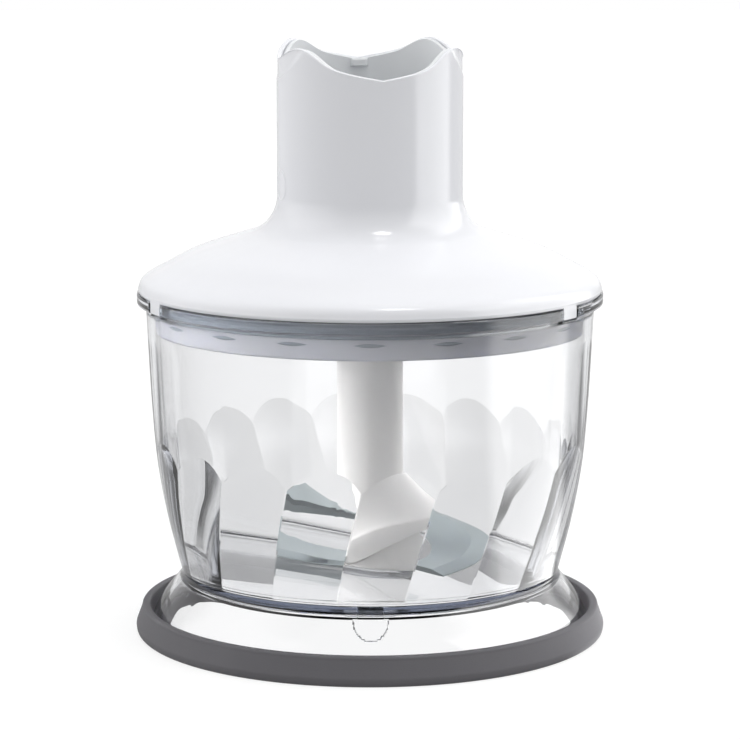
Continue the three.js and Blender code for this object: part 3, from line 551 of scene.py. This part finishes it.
# ---- Neck mark ----
# A fine raised circle moulded on the left of the neck, in the same gloss ABS: it shows where to press.
CIRCLE_ANGLE = -72.0
CIRCLE_HEIGHT = 134.0
rows = []
for i in range(48):
    turn = math.radians(7.5 * i)
    row = []
    for reach, lift in ((4.15, -0.05), (4.25, 0.1), (4.45, 0.1), (4.55, -0.05)):
        angle = CIRCLE_ANGLE + math.degrees(reach * math.cos(turn) / NECK_RADIUS)
        row.append(around(NECK_RADIUS + lift, angle, CIRCLE_HEIGHT + reach * math.sin(turn)))
    rows.append(row)
make_piece("neck_mark", rows, white_abs, "lid", [], joined=True)


# ---- Gear cover ----
# Lavender-grey polypropylene that lets a little light through. It closes the lid from below, its skirt
# reaches into the bowl, and a groove in the skirt holds the seal. It is screwed up into the lid shell.
SKIRT_OUT = MOUTH_RADIUS - 0.9
SKIRT_IN = SKIRT_OUT - 2.3
SKIRT_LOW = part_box("gear_cover")[0].z / MM
SEAL_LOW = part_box("lid_seal")[0].z / MM
SEAL_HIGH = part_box("lid_seal")[1].z / MM
COVER_UNDER = 94.6
COVER_TOP = 96.6

# Polypropylene is faintly milky, so light spreads under its satin skin.
tinted_pp, tree, place = start_material("lavender_grey_polypropylene")
tone = mottle(tree, place, 40.0, 2.0, "#d9dae2", "#e0e1e8")
dull = skin(tree, place, 1800.0, 1.0, 0.3, 0.4)[1]
end_material(tree, add_node(tree, "ShaderNodeBsdfPrincipled", {
    "Base Color": tone, "Roughness": dull, "IOR": 1.49, "Subsurface Weight": 0.25,
    "Subsurface Radius": (0.002, 0.002, 0.0025), "Subsurface Scale": 0.5,
}))

cover_profile = [
    (7.7, 93.8), (7.9, 93.6), (9.8, 93.6), (10.1, 93.8), (10.6, COVER_UNDER - 0.1), (10.8, COVER_UNDER),
    (SKIRT_IN - 1.0, COVER_UNDER), *arc((SKIRT_IN - 1.0, COVER_UNDER - 1.0), 1.0, 80, 10, 4),
    (SKIRT_IN + 0.6, SKIRT_LOW + 0.3), *arc((SKIRT_IN + 0.9, SKIRT_LOW + 0.3), 0.3, 200, 270, 3),
    *arc((SKIRT_OUT - 0.8, SKIRT_LOW + 0.8), 0.8, 270, 360, 6), (SKIRT_OUT, SEAL_LOW - 0.5),
    (SKIRT_OUT - 0.2, SEAL_LOW - 0.3), (SKIRT_OUT - 1.1, SEAL_LOW - 0.3), (SKIRT_OUT - 1.1, SEAL_HIGH + 0.3),
    (SKIRT_OUT - 0.2, SEAL_HIGH + 0.3), (SKIRT_OUT, SEAL_HIGH + 0.5), (SKIRT_OUT, BOWL_TOP + 0.3),
    (65.2, BOWL_TOP + 0.3), (65.5, BOWL_TOP + 0.6), (65.5, BOWL_TOP + 1.4), (65.2, BOWL_TOP + 1.7),
    (SKIRT_IN + 0.1, BOWL_TOP + 1.7), (SKIRT_IN, BOWL_TOP + 1.6), (SKIRT_IN, COVER_TOP + 0.4),
    (SKIRT_IN - 0.4, COVER_TOP), (7.9, COVER_TOP), (7.7, COVER_TOP - 0.2),
]
make_piece("gear_cover_skirt", rings(cover_profile, whole_turn), tinted_pp, "lid", ["gear_cover"],
           joined=True)


# ---- Lid seal ----
# A slate-grey silicone ring that sits in the skirt's groove and bears on the inside of the rim. Eighteen
# small lens-shaped lips of the same slate silicone below it, on the skirt, are dark marks put there as
# painted shade.
SEAL_REACH = MOUTH_RADIUS - 0.3
LIP_COUNT = 18
LIP_LENGTH = 9.0
LIP_HEIGHT = 1.4
LIP_DEPTH = 0.35
LIP_LEVEL = 95.4

# Silicone is soft and satin, and collects a faint bloom, so its colour isn't quite even.
slate_silicone, tree, place = start_material("slate_moulded_silicone")
tone = mottle(tree, place, 120.0, 3.0, "#a5adb7", "#b0b7c0")
end_material(tree, add_node(tree, "ShaderNodeBsdfPrincipled", {
    "Base Color": tone, "Roughness": 0.5, "IOR": 1.43,
}))

seal_profile = [
    (SKIRT_OUT - 0.8, SEAL_LOW), (SEAL_REACH - 0.9, SEAL_LOW), (SEAL_REACH - 0.5, SEAL_LOW + 0.2),
    *arc((SEAL_REACH - 0.5, SEAL_LOW + 0.9), 0.5, -60, 60, 5), (SEAL_REACH - 0.45, SEAL_LOW + 1.6),
    (SEAL_REACH - 0.45, SEAL_LOW + 2.0), *arc((SEAL_REACH - 0.5, SEAL_LOW + 2.7), 0.5, -60, 60, 5),
    (SEAL_REACH - 0.5, SEAL_HIGH - 0.1), (SEAL_REACH - 0.9, SEAL_HIGH), (SKIRT_OUT - 0.8, SEAL_HIGH),
]
make_piece("lid_seal_ring", rings(seal_profile, whole_turn), slate_silicone, "lid", ["lid_seal"],
           joined=True)


def group_tree(name, sizes):
    """An empty Geometry Nodes tree with a named input for each size, and its input and output nodes."""
    tree = bpy.data.node_groups.new(name, "GeometryNodeTree")
    tree.is_modifier = True
    tree.interface.new_socket("Geometry", in_out="INPUT", socket_type="NodeSocketGeometry")
    for size, kind in sizes.items():
        tree.interface.new_socket(size, in_out="INPUT", socket_type=kind)
    tree.interface.new_socket("Geometry", in_out="OUTPUT", socket_type="NodeSocketGeometry")
    return tree, add_node(tree, "NodeGroupInput"), add_node(tree, "NodeGroupOutput")


def grown_mesh(name, seed, tree, values):
    """The plain mesh that a tree makes from a seed mesh with those values of its named inputs."""
    carrier = bpy.data.objects.new(name, seed)
    bpy.context.scene.collection.objects.link(carrier)
    modifier = carrier.modifiers.new(name, "NODES")
    modifier.node_group = tree
    for item in tree.interface.items_tree:
        if item.in_out == "INPUT" and item.name in values:
            modifier[item.identifier] = values[item.name]
    seen_whole = carrier.evaluated_get(bpy.context.evaluated_depsgraph_get())
    mesh = bpy.data.meshes.new_from_object(seen_whole)
    bpy.data.objects.remove(carrier)
    return mesh


def ring_of_copies(name, seed, material, count, radius, height, first=0.0):
    """Copies of a seed mesh round the axis. The seed faces -Y, its origin at the radius and height."""
    tree, given, result = group_tree(name, {
        "Count": "NodeSocketInt", "Radius": "NodeSocketFloat", "Height": "NodeSocketFloat",
        "First turn": "NodeSocketFloat", "Material": "NodeSocketMaterial",
    })
    size = given.outputs
    circle = add_node(tree, "GeometryNodeMeshCircle", {"Vertices": size["Count"], "Radius": 1.0})
    number = add_node(tree, "GeometryNodeInputIndex")
    step = add_node(tree, "ShaderNodeMath", {0: 2 * math.pi, 1: size["Count"]}, operation="DIVIDE")
    angle = add_node(tree, "ShaderNodeMath", {0: number, 1: step}, operation="MULTIPLY")
    turn = add_node(tree, "ShaderNodeMath", {0: angle, 1: size["First turn"]}, operation="ADD")
    spin = add_node(tree, "ShaderNodeCombineXYZ", {"Z": turn})
    back = add_node(tree, "ShaderNodeMath", {0: size["Radius"], 1: -1.0}, operation="MULTIPLY")
    reach = add_node(tree, "ShaderNodeCombineXYZ", {"Y": back, "Z": size["Height"]})
    spot = add_node(tree, "ShaderNodeVectorRotate", {"Vector": reach, "Rotation": spin},
                    rotation_type="EULER_XYZ")
    put = add_node(tree, "GeometryNodeSetPosition", {"Geometry": circle, "Position": spot})
    copies = add_node(tree, "GeometryNodeInstanceOnPoints", {
        "Points": put, "Instance": size["Geometry"], "Rotation": spin,
    })
    real = add_node(tree, "GeometryNodeRealizeInstances", {"Geometry": copies})
    coated = add_node(tree, "GeometryNodeSetMaterial", {"Geometry": real, "Material": size["Material"]})
    tree.links.new(coated.outputs[0], result.inputs[0])
    return grown_mesh(name, seed, tree, {
        "Count": count, "Radius": radius * MM, "Height": height * MM, "First turn": math.radians(first),
        "Material": material,
    })


def lip_seed():
    """One lip: a thin lens, curved with the skirt, about its own middle."""
    steps = 16
    sides = 5
    points = []
    for i in range(steps + 1):
        along = 2 * i / steps - 1
        half = max(0.02, LIP_HEIGHT / 2 * (1 - along**2))
        x = LIP_LENGTH / 2 * along
        curve = x * x / (2 * SKIRT_OUT)
        lift = LIP_DEPTH * (1 - along**4) + 0.02
        points += [(x, curve + 0.2, -half), (x, curve - 0.5 * lift, -0.6 * half), (x, curve - lift, 0),
                   (x, curve - 0.5 * lift, 0.6 * half), (x, curve + 0.2, half)]
    faces = []
    for i in range(0, steps * sides, sides):
        for j in range(sides):
            k = (j + 1) % sides
            faces.append((i + j, i + sides + j, i + sides + k, i + k))
    faces += [tuple(range(sides)), tuple(range(steps * sides + sides - 1, steps * sides - 1, -1))]
    mesh = bpy.data.meshes.new("lip_seed")
    mesh.from_pydata([tuple(MM * c for c in p) for p in points], [], faces)
    return mesh


# Painted shade: these dark slate lenses stand for shade on the skirt.
shade_lips = ring_of_copies("painted_shade_lips", lip_seed(), slate_silicone, LIP_COUNT, SKIRT_OUT, LIP_LEVEL)
finish_piece("painted_shade_lips", shade_lips, slate_silicone, "lid", [])


# ---- Cover screws ----
# Zinc-plated steel screws with flat heads and a hexagon recess, driven up through the gear cover into bosses
# of the lid shell.
SCREW_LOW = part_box("cover_screw_1")[0].z / MM
SCREW_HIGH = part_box("cover_screw_1")[1].z / MM
SCREW_CIRCLE = 45.0  # radius of the circle that they stand on
SCREWS = ["cover_screw_1", "cover_screw_2", "cover_screw_3", "cover_screw_4"]
HEXAGON_STEPS = 36

# Zinc plating on a rolled thread is bright, with a bluish cast and a fine unevenness in its shine.
zinc_steel, tree, place = start_material("zinc_plated_steel")
shine = skin(tree, place, 900.0, 2.0, 0.22, 0.4)[1]
end_material(tree, add_node(tree, "ShaderNodeBsdfPrincipled", {
    "Base Color": linear("#c3c8cc"), "Metallic": 1.0, "Roughness": shine,
}))


def hexagon_radius(flats, angle):
    return flats / 2 / math.cos(math.radians((angle + 30) % 60 - 30))


def screw_seed():
    """One screw on the axis, from the bottom of its recess round its head to its point."""
    turns = [360 * j / HEXAGON_STEPS for j in range(HEXAGON_STEPS)]
    rows = [[around(hexagon_radius(2.0, c), c, SCREW_LOW + 1.3) for c in turns],
            [around(hexagon_radius(2.2, c), c, SCREW_LOW) for c in turns]]
    rows += rings([
        (2.3, SCREW_LOW), (2.75, SCREW_LOW + 0.25), (2.98, SCREW_LOW + 0.8), (2.98, SCREW_LOW + 1.55),
        (2.9, SCREW_LOW + 1.7), (1.5, SCREW_LOW + 1.7), (1.5, SCREW_HIGH - 1.0), (0.6, SCREW_HIGH - 0.1),
        (0.2, SCREW_HIGH),
    ], turns)
    piece = make_piece("screw_seed", rows, zinc_steel, "lid", [])
    mesh = piece.data
    bpy.data.objects.remove(piece)
    return mesh


screws = ring_of_copies("cover_screws", screw_seed(), zinc_steel, len(SCREWS), SCREW_CIRCLE, 0.0, first=45.0)
finish_piece("cover_screws", screws, zinc_steel, "lid", SCREWS)


# ---- Blade hub ----
# Satin white ABS moulded round the tangs of both blades. The column carries a tilted collar: a wing under its
# right side covers the upper blade's tang, and from there it runs down round the front to the lower blade.
HUB_RADIUS = 9.75
HUB_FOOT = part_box("blade_hub")[0].z / MM
HUB_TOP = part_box("blade_hub")[1].z / MM
PIN_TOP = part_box("centre_pin")[1].z / MM
COLLAR_RISE = 8.5  # height of the fillet from the collar up into the column
COLUMN_ROUND = 0.6
INSERT_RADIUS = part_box("drive_insert")[1].x / MM

# The same plastic in a warmer white than the lid's, with the bloom that a dishwasher leaves.
warm_abs, tree, place = start_material("warm_white_abs")
dull = skin(tree, place, 2000.0, 2.0, 0.4, 0.5)[1]
tone = mottle(tree, place, 80.0, 2.0, "#edebe8", "#f4f1ee")
end_material(tree, add_node(tree, "ShaderNodeBsdfPrincipled", {
    "Base Color": tone, "Roughness": dull, "IOR": 1.53,
}))

# Angles from the front, with the height of the collar's crest, its reach and the height of its side there.
collar_line = spline([
    (-90, 22.3, 11.4, 1.4), (-60, 22.5, 11.3, 1.6), (-35, 23.1, 11.6, 2.2), (-8, 27.9, 12.2, 6.5),
    (20, 33.2, 13.0, 6.2), (50, 36.2, 14.4, 3.8), (85, 37.8, 15.4, 3.0), (125, 37.0, 14.2, 3.0),
    (160, 32.5, 11.8, 3.0), (200, 27.0, 11.2, 3.0), (240, 23.4, 11.3, 2.2), (270, 22.3, 11.4, 1.4),
], 176)


def collar(angle):
    """The crest, reach and side at any angle."""
    away = (angle + 90) % 360 - 90
    for here, there in zip(collar_line, collar_line[1:]):
        if away <= there[0]:
            share = (away - here[0]) / (there[0] - here[0])
            return [a + (b - a) * share for a, b in zip(here[1:], there[1:])]
    return collar_line[-1][1:]


def cone_radius(height):
    return 12.0 - 0.19 * (height - HUB_FOOT)


hub_columns = [2.5 * i for i in range(144)]
collars = {c: collar(c) for c in hub_columns}
bore = [(4.2, PIN_TOP + 2.1), (4.2, 28.7), (5.6, 28.6), (5.6, 26.8), (7.4, 26.7), (7.4, HUB_FOOT + 0.2),
        (7.6, HUB_FOOT), (11.3, HUB_FOOT), (11.8, HUB_FOOT + 0.25)]
rows = rings(bore, hub_columns)

# The cone under the collar, the collar's side, the fillet over it, and the column.
cone_foot = HUB_FOOT + 0.5
for share in [i / 10 for i in range(11)]:
    row = []
    for c, (crest, reach, side) in collars.items():
        z = cone_foot + share * (crest - side - 0.3 - cone_foot)
        row.append(around(min(cone_radius(z), reach - 0.8), c, z))
    rows.append(row)
for back, up, lift in ((0.7, 0, -0.05), (0.3, 0, 0.05), (0.08, 0, 0.3), (0.0, 0.3, 0.2), (0.0, 0.6, 0),
                       (0.0, 1, -0.6), (0.1, 1, -0.3), (0.35, 1, -0.05)):
    rows.append([around(reach - back, c, crest - (1 - up) * side + lift)
                 for c, (crest, reach, side) in collars.items()])
for share in [i / 16 for i in range(1, 17)]:
    row = []
    for c, (crest, reach, _) in collars.items():
        out = max(0.0, reach - 0.5 - HUB_RADIUS)
        row.append(around(HUB_RADIUS + out * (1 - share)**2.2, c, crest + share * COLLAR_RISE))
    rows.append(row)
for share in [i / 6 for i in range(1, 7)]:
    row = []
    for c, (crest, _, _) in collars.items():
        start = crest + COLLAR_RISE
        row.append(around(HUB_RADIUS, c, start + share * (HUB_TOP - COLUMN_ROUND - start)))
    rows.append(row)
top = [*arc((HUB_RADIUS - COLUMN_ROUND, HUB_TOP - COLUMN_ROUND), COLUMN_ROUND, 15, 90, 5),
       (INSERT_RADIUS + 0.5, HUB_TOP), (INSERT_RADIUS + 0.3, HUB_TOP - 0.2),
       (INSERT_RADIUS + 0.3, HUB_TOP - 11.7)]
rows += rings(top, hub_columns)
make_piece("blade_hub_column", rows, warm_abs, "blades", ["blade_hub"], crease=40)


# ---- Blades ----
# Two sickles blanked from 1.4 mm stainless sheet, bent to height, and ground along the outer edge. They leave
# the hub half a turn apart, one high and one low, and their tips meet at the same height.
BLADE_SCALE = 50.5 / 50.3  # the outlines below are for a reach of 50.3
BLADE_THICKNESS = 1.4
BEVEL = 3.4
UPPER_ROOT = 34.0
LOWER_ROOT = 23.0
TIP_HEIGHT = 27.4
BLADE_STEPS = 64

# Stainless sheet is brushed along its length before it is blanked. The marks are drawn a few times wider than
# the real ones, so that they show.
brushed_steel, tree, place = start_material("brushed_stainless_sheet")
squeeze = add_node(tree, "ShaderNodeMapping", {"Vector": place, "Scale": (2600.0, 90.0, 400.0)})
marks = add_node(tree, "ShaderNodeTexNoise", {"Vector": squeeze, "Scale": 1.0, "Detail": 3.0})
tone = mottle(tree, place, 50.0, 1.0, "#c3cfd2", "#d0dadc")
shine = add_node(tree, "ShaderNodeMapRange", {"Value": marks, "To Min": 0.26, "To Max": 0.42})
lines = add_node(tree, "ShaderNodeBump", {"Height": marks, "Strength": 0.12, "Distance": 0.0001})
end_material(tree, add_node(tree, "ShaderNodeBsdfPrincipled", {
    "Base Color": tone, "Metallic": 1.0, "Roughness": shine, "Normal": lines,
}))

blade_outer = spline([
    (7.0, 9.4), (16.5, 10.2), (27.2, 0.5), (30.8, -15), (28.4, -32), (20.5, -45.6),
], BLADE_STEPS)
blade_inner = spline([
    (7.0, -3.6), (13.2, -5.0), (18.6, -10.5), (20.4, -20.5), (19.0, -30.5), (13.6, -39.4),
], BLADE_STEPS)


def blade_rows(root, side):
    """Rows from tang to tip. Each goes round the blade's section: back, underside, ground edge, top."""
    rows = []
    half = BLADE_THICKNESS / 2
    scale = side * BLADE_SCALE
    for step in range(BLADE_STEPS + 1):
        share = step / BLADE_STEPS
        (ox, oy), (ix, iy) = blade_outer[step], blade_inner[step]
        width = math.hypot(ox - ix, oy - iy)
        ax, ay = (ox - ix) / width, (oy - iy) / width
        middle = root + (TIP_HEIGHT - root) * smoothstep(0.22, 1.0, share)
        ground = min(BEVEL * smoothstep(0.12, 0.3, share) + 0.3, 0.5 * width)
        section = [(0.0, -half + 0.25), (0.25, -half), (width - 0.1, -half), (width, -half + 0.12),
                   (width - 0.1, -half + 0.3), (width - ground, half), (0.25, half), (0.0, half - 0.25)]
        rows.append([(scale * (ix + ax * across), scale * (iy + ay * across), middle + up)
                     for across, up in section])
    return rows


for node, root, side in (("upper_blade", UPPER_ROOT, 1), ("lower_blade", LOWER_ROOT, -1)):
    make_piece(f"{node}_sickle", blade_rows(root, side), brushed_steel, "blades", [node],
               crease=12)


# ---- Drive ----
# The moving insides keep their own shapes and get their real finishes: ground steel shafts and pins, sintered
# bronze bushes, acetal gears, and carriers and couplings of glass-filled nylon.

# Ground bar shines in fine rings round its length.
ground_steel, tree, place = start_material("ground_steel_bar")
squeeze = add_node(tree, "ShaderNodeMapping", {"Vector": place, "Scale": (200.0, 200.0, 5000.0)})
marks = add_node(tree, "ShaderNodeTexNoise", {"Vector": squeeze, "Scale": 1.0, "Detail": 2.0})
shine = add_node(tree, "ShaderNodeMapRange", {"Value": marks, "To Min": 0.18, "To Max": 0.32})
end_material(tree, add_node(tree, "ShaderNodeBsdfPrincipled", {
    "Base Color": linear("#c9cdcf"), "Metallic": 1.0, "Roughness": shine,
}))

# Sintered bronze is full of fine pores, so it is dull and speckled.
sintered_bronze, tree, place = start_material("sintered_bronze")
pores = add_node(tree, "ShaderNodeTexVoronoi", {"Vector": place, "Scale": 3000.0})
tone = add_node(tree, "ShaderNodeMix", {
    "Factor": pores.outputs["Distance"], 6: linear("#8f7440"), 7: linear("#b99c62"),
}, data_type="RGBA")
end_material(tree, add_node(tree, "ShaderNodeBsdfPrincipled", {
    "Base Color": tone.outputs[2], "Metallic": 1.0, "Roughness": 0.42,
}))

# Acetal is milky and waxy, with a little light carried under its surface.
milky_acetal, tree, place = start_material("milky_moulded_acetal")
tone = mottle(tree, place, 300.0, 2.0, "#dedbd0", "#ebe8df")
end_material(tree, add_node(tree, "ShaderNodeBsdfPrincipled", {
    "Base Color": tone, "Roughness": 0.38, "IOR": 1.48, "Subsurface Weight": 0.2,
    "Subsurface Radius": (0.0015, 0.0013, 0.001), "Subsurface Scale": 0.5,
}))

# Glass-filled nylon shows short grey fibres that lie in all directions just under a dull skin.
filled_nylon, tree, place = start_material("glass_filled_nylon")
fibres = add_node(tree, "ShaderNodeTexNoise", {
    "Vector": place, "Scale": 1500.0, "Detail": 4.0, "Distortion": 2.0,
})
tone = add_node(tree, "ShaderNodeMix", {
    "Factor": fibres, 6: linear("#34373c"), 7: linear("#4a4d53"),
}, data_type="RGBA")
rough = add_node(tree, "ShaderNodeMapRange", {"Value": fibres, "To Min": 0.42, "To Max": 0.62})
end_material(tree, add_node(tree, "ShaderNodeBsdfPrincipled", {
    "Base Color": tone.outputs[2], "Roughness": rough, "IOR": 1.53,
}))

INSIDES = {
    ground_steel: ["centre_pin", "output_shaft", "input_shaft", "sun_gear", "shaft_clip", "planet_pin_1",
                   "planet_pin_2", "planet_pin_3"],
    sintered_bronze: ["pin_bush", "output_bush", "input_bush"],
    milky_acetal: ["ring_gear", "planet_gear_1", "planet_gear_2", "planet_gear_3"],
    filled_nylon: ["drive_insert", "drive_dog", "planet_carrier", "carrier_cap"],
    slate_silicone: ["shaft_seal"],
}
for finish, names in INSIDES.items():
    for name in names:
        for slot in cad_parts[name].material_slots:
            slot.material = finish


# ---- Stage ----
# A pale sweep under soft studio light. Tall softboxes stand at both sides, the right one the stronger, a
# large one hangs overhead, and the front, where the camera stands, is dim. Clear plastic shows the bright
# sweep behind it.
CAMERA_PLACE = (0, -0.872, 0.224)
CAMERA_DROP = 9.5  # degrees below level
LAMP_WAY = (0.139, -0.15, 0.979)
BOUNCE = 0.22  # light that the floor gives to what stands on it


def by_ray(tree, plain, through, lit_plain, lit_through):
    """Whether a ray went through plastic, and a light's strength for what is seen and what is lit by it."""
    path = add_node(tree, "ShaderNodeLightPath").outputs
    inside = add_node(tree, "ShaderNodeMath", {0: path["Transmission Depth"], 1: 0.5},
                      operation="GREATER_THAN")
    bounced = add_node(tree, "ShaderNodeMath", {0: path["Diffuse Depth"], 1: 0.5}, operation="GREATER_THAN")
    seen = add_node(tree, "ShaderNodeMix", {"Factor": inside, 2: plain, 3: through})
    lit = add_node(tree, "ShaderNodeMix", {"Factor": inside, 2: lit_plain, 3: lit_through})
    return inside, add_node(tree, "ShaderNodeMix", {"Factor": bounced, 2: seen, 3: lit})


pale_floor, tree, place = start_material("pale_paper_floor")
far = add_node(tree, "ShaderNodeVectorMath", {0: place}, operation="LENGTH").outputs["Value"]
bearing = add_node(tree, "ShaderNodeVectorMath", {0: place}, operation="NORMALIZE")
course = add_node(tree, "ShaderNodeSeparateXYZ", {"Vector": bearing}).outputs
aside = add_node(tree, "ShaderNodeMath", {0: course["X"]}, operation="ABSOLUTE")

# How the floor changes: what each change goes by, where it starts and ends, and the values there.
ground = {
    # Seen only through the bowl: painted shade beside it and a painted shadow round its foot.
    "beside": (aside, 0.55, 0.65, 1.0, 0.08),
    "behind": (far, 0.27, 0.36, 0.93, 1.14),
    "under the bowl": (far, 0.066, 0.09, 1.04, 0.75),
    "past the foot": (far, 0.09, 0.14, 0.0, 1.0),
    "stripe's front": (course["Y"], -0.6, -0.45, 0.0, 1.0),
    "stripe's back": (course["Y"], 0.5, 0.3, 0.0, 1.0),
}
for name, (value, start, end, first, last) in ground.items():
    ground[name] = add_node(tree, "ShaderNodeMapRange", {
        "Value": value, "From Min": start, "From Max": end, "To Min": first, "To Max": last,
    }, interpolation_type="SMOOTHSTEP")

# Through the bowl, the floor's glow is painted light and shade: bright close to it and behind it, a painted
# shadow round the foot, and painted shade beside it.
sweep = add_node(tree, "ShaderNodeMath", {0: ground["beside"], 1: ground["behind"]}, operation="MULTIPLY")
painted_fall = add_node(tree, "ShaderNodeMix", {
    "Factor": ground["past the foot"], 2: ground["under the bowl"], 3: sweep,
})

# In gloss, it is dark but for a painted stripe of light under the right softbox, a painted reflection of that
# box's light.
painted_stripe = add_node(tree, "ShaderNodeMath", {0: course["X"], 1: 0.0}, operation="GREATER_THAN")
for edge in ("stripe's front", "stripe's back"):
    painted_stripe = add_node(tree, "ShaderNodeMath", {0: painted_stripe, 1: ground[edge]}, operation="MULTIPLY")
# The painted reflection: the stripe glows brighter in gloss only.
painted_reflection = add_node(tree, "ShaderNodeMath", {0: painted_stripe, 1: 2.9, 2: 0.3}, operation="MULTIPLY_ADD")
path = add_node(tree, "ShaderNodeLightPath").outputs
plain = add_node(tree, "ShaderNodeMix", {"Factor": path["Is Glossy Ray"], 2: 0.8, 3: painted_reflection})
inside, strength = by_ray(tree, plain, painted_fall, BOUNCE, BOUNCE)
tint = add_node(tree, "ShaderNodeMix", {
    "Factor": inside, 6: (0.22, 0.22, 0.22, 1), 7: (0.0, 0.0, 0.0, 1),
}, data_type="RGBA")
paper = add_node(tree, "ShaderNodeBsdfDiffuse", {"Color": tint.outputs[2]})
glow = add_node(tree, "ShaderNodeEmission", {"Strength": strength})
end_material(tree, add_node(tree, "ShaderNodeAddShader", {0: paper, 1: glow}))
bpy.ops.mesh.primitive_plane_add(size=8)
floor = bpy.context.object
floor.name = "floor"
floor.data.materials.append(pale_floor)

scene = bpy.context.scene
world = bpy.data.worlds.new("studio")
scene.world = world
world.use_nodes = True
tree = world.node_tree
tree.nodes.clear()
way = add_node(tree, "ShaderNodeTexCoord").outputs["Generated"]
z = add_node(tree, "ShaderNodeSeparateXYZ", {"Vector": way}).outputs["Z"]
flat = add_node(tree, "ShaderNodeVectorMath", {0: way, 1: (1, 1, 0)}, operation="MULTIPLY")
level = add_node(tree, "ShaderNodeVectorMath", {0: flat}, operation="NORMALIZE")
compass = add_node(tree, "ShaderNodeSeparateXYZ", {"Vector": level}).outputs
x, y = compass["X"], compass["Y"]
aside = add_node(tree, "ShaderNodeMath", {0: x}, operation="ABSOLUTE")
to_lamp = add_node(tree, "ShaderNodeVectorMath", {0: way, 1: LAMP_WAY}, operation="DOT_PRODUCT")
frontward = add_node(tree, "ShaderNodeMath", {0: y, 1: -0.88}, operation="MULTIPLY")
shade_side = add_node(tree, "ShaderNodeMath", {0: x, 1: 0.47, 2: frontward}, operation="MULTIPLY_ADD")

# The same for the studio: the height z, the bearings x and y, and the side turned away from the low light.
studio = {
    "low light's top": (z, 0.34, 0.5, 0.0, 1.0),
    "overhead box": (z, 0.72, 0.92, 0.0, 1.0),
    "low box": (shade_side, 0.8, -0.65, 0.05, 14.5),
    "low right": (x, 0.7, 1.0, 0.0, 0.9),
    "low box's top": (z, 0.47, 0.56, 0.0, 1.0),
    "upper box": (x, -0.6, 0.6, 2.2, 3.2),
    "left box's front": (y, -0.85, -0.6, 0.0, 1.0),
    "left box's back": (y, 0.6, 0.4, 0.0, 1.0),
    "right box's front": (y, -0.62, -0.52, 0.0, 1.0),
    "right box's back": (y, 0.8, 0.7, 0.0, 1.0),
    "side boxes' top": (z, 0.85, 0.7, 0.0, 1.0),
    "lamp": (to_lamp.outputs["Value"], 0.9945, 0.9965, 0.0, 14.0),
    "dim front": (y, -0.2, -0.8, 0.9, 0.12),
    "dim left": (x, 0.0, -0.5, 1.0, 0.5),
    "flags": (aside, 0.35, 0.7, 0.97, 0.12),
    "flags' front": (y, -0.5, -0.8, 0.0, 1.0),
}
for name, (value, start, end, first, last) in studio.items():
    studio[name] = add_node(tree, "ShaderNodeMapRange", {
        "Value": value, "From Min": start, "From Max": end, "To Min": first, "To Max": last,
    }, interpolation_type="SMOOTHSTEP")

# What the matt surfaces are lit by: low light from behind on the left, the side box on the right, and the
# one overhead.
low_light = add_node(tree, "ShaderNodeMath", {0: shade_side, 1: -1.85, 2: 1.4}, operation="MULTIPLY_ADD")
low_light = add_node(tree, "ShaderNodeMath", {0: low_light, 1: 0.04}, operation="MAXIMUM")
side_light = add_node(tree, "ShaderNodeMath", {0: x, 1: 0.55, 2: 0.76}, operation="MULTIPLY_ADD")
lit = add_node(tree, "ShaderNodeMix", {"Factor": studio["low light's top"], 2: low_light, 3: side_light})
lit = add_node(tree, "ShaderNodeMix", {"Factor": studio["overhead box"], 2: lit, 3: 1.45})

# The lid shades what stands in the bowl, so a strong low box on the left is what lights it.
low_box = add_node(tree, "ShaderNodeMath", {0: studio["low box"], 1: studio["low right"]}, operation="ADD")
in_bowl = add_node(tree, "ShaderNodeMix", {
    "Factor": studio["low box's top"], 2: low_box, 3: studio["upper box"],
})

# What shines in the gloss: the two side boxes and a small lamp overhead.
boxes = {}
for side, test in (("left", "LESS_THAN"), ("right", "GREATER_THAN")):
    box = add_node(tree, "ShaderNodeMath", {0: x, 1: 0.0}, operation=test)
    for edge in ("front", "back"):
        box = add_node(tree, "ShaderNodeMath", {0: box, 1: studio[f"{side} box's {edge}"]},
                       operation="MULTIPLY")
    boxes[side] = box
shine = add_node(tree, "ShaderNodeMath", {0: boxes["right"], 1: 2.2}, operation="MULTIPLY")
shine = add_node(tree, "ShaderNodeMath", {0: boxes["left"], 1: 0.8, 2: shine}, operation="MULTIPLY_ADD")
dim = add_node(tree, "ShaderNodeMath", {0: studio["dim front"], 1: studio["dim left"]}, operation="MULTIPLY")
shine = add_node(tree, "ShaderNodeMath", {
    0: shine, 1: studio["side boxes' top"], 2: dim,
}, operation="MULTIPLY_ADD")
shine = add_node(tree, "ShaderNodeMath", {0: shine, 1: studio["lamp"]}, operation="ADD")

# What clear plastic shows: the sweep behind, with dark flags at both sides of it that draw the edges.
behind = add_node(tree, "ShaderNodeMix", {"Factor": studio["flags' front"], 2: studio["flags"], 3: 0.6})
strength = by_ray(tree, shine, behind, lit, in_bowl)[1]
path = add_node(tree, "ShaderNodeLightPath").outputs
strength = add_node(tree, "ShaderNodeMix", {"Factor": path["Is Camera Ray"], 2: strength, 3: 1.0})
light = add_node(tree, "ShaderNodeBackground", {"Color": (1, 1, 1, 1), "Strength": strength})
add_node(tree, "ShaderNodeOutputWorld", {"Surface": light})

scene.view_settings.view_transform = "Standard"
scene.cycles.max_bounces = 24
scene.cycles.transmission_bounces = 20
scene.cycles.glossy_bounces = 8

camera = bpy.data.objects.new("camera", bpy.data.cameras.new("camera"))
scene.collection.objects.link(camera)
camera.location = CAMERA_PLACE
camera.rotation_euler = (math.radians(90 - CAMERA_DROP), 0, 0)
camera.data.sensor_width = 36
camera.data.lens = 145
scene.camera = camera
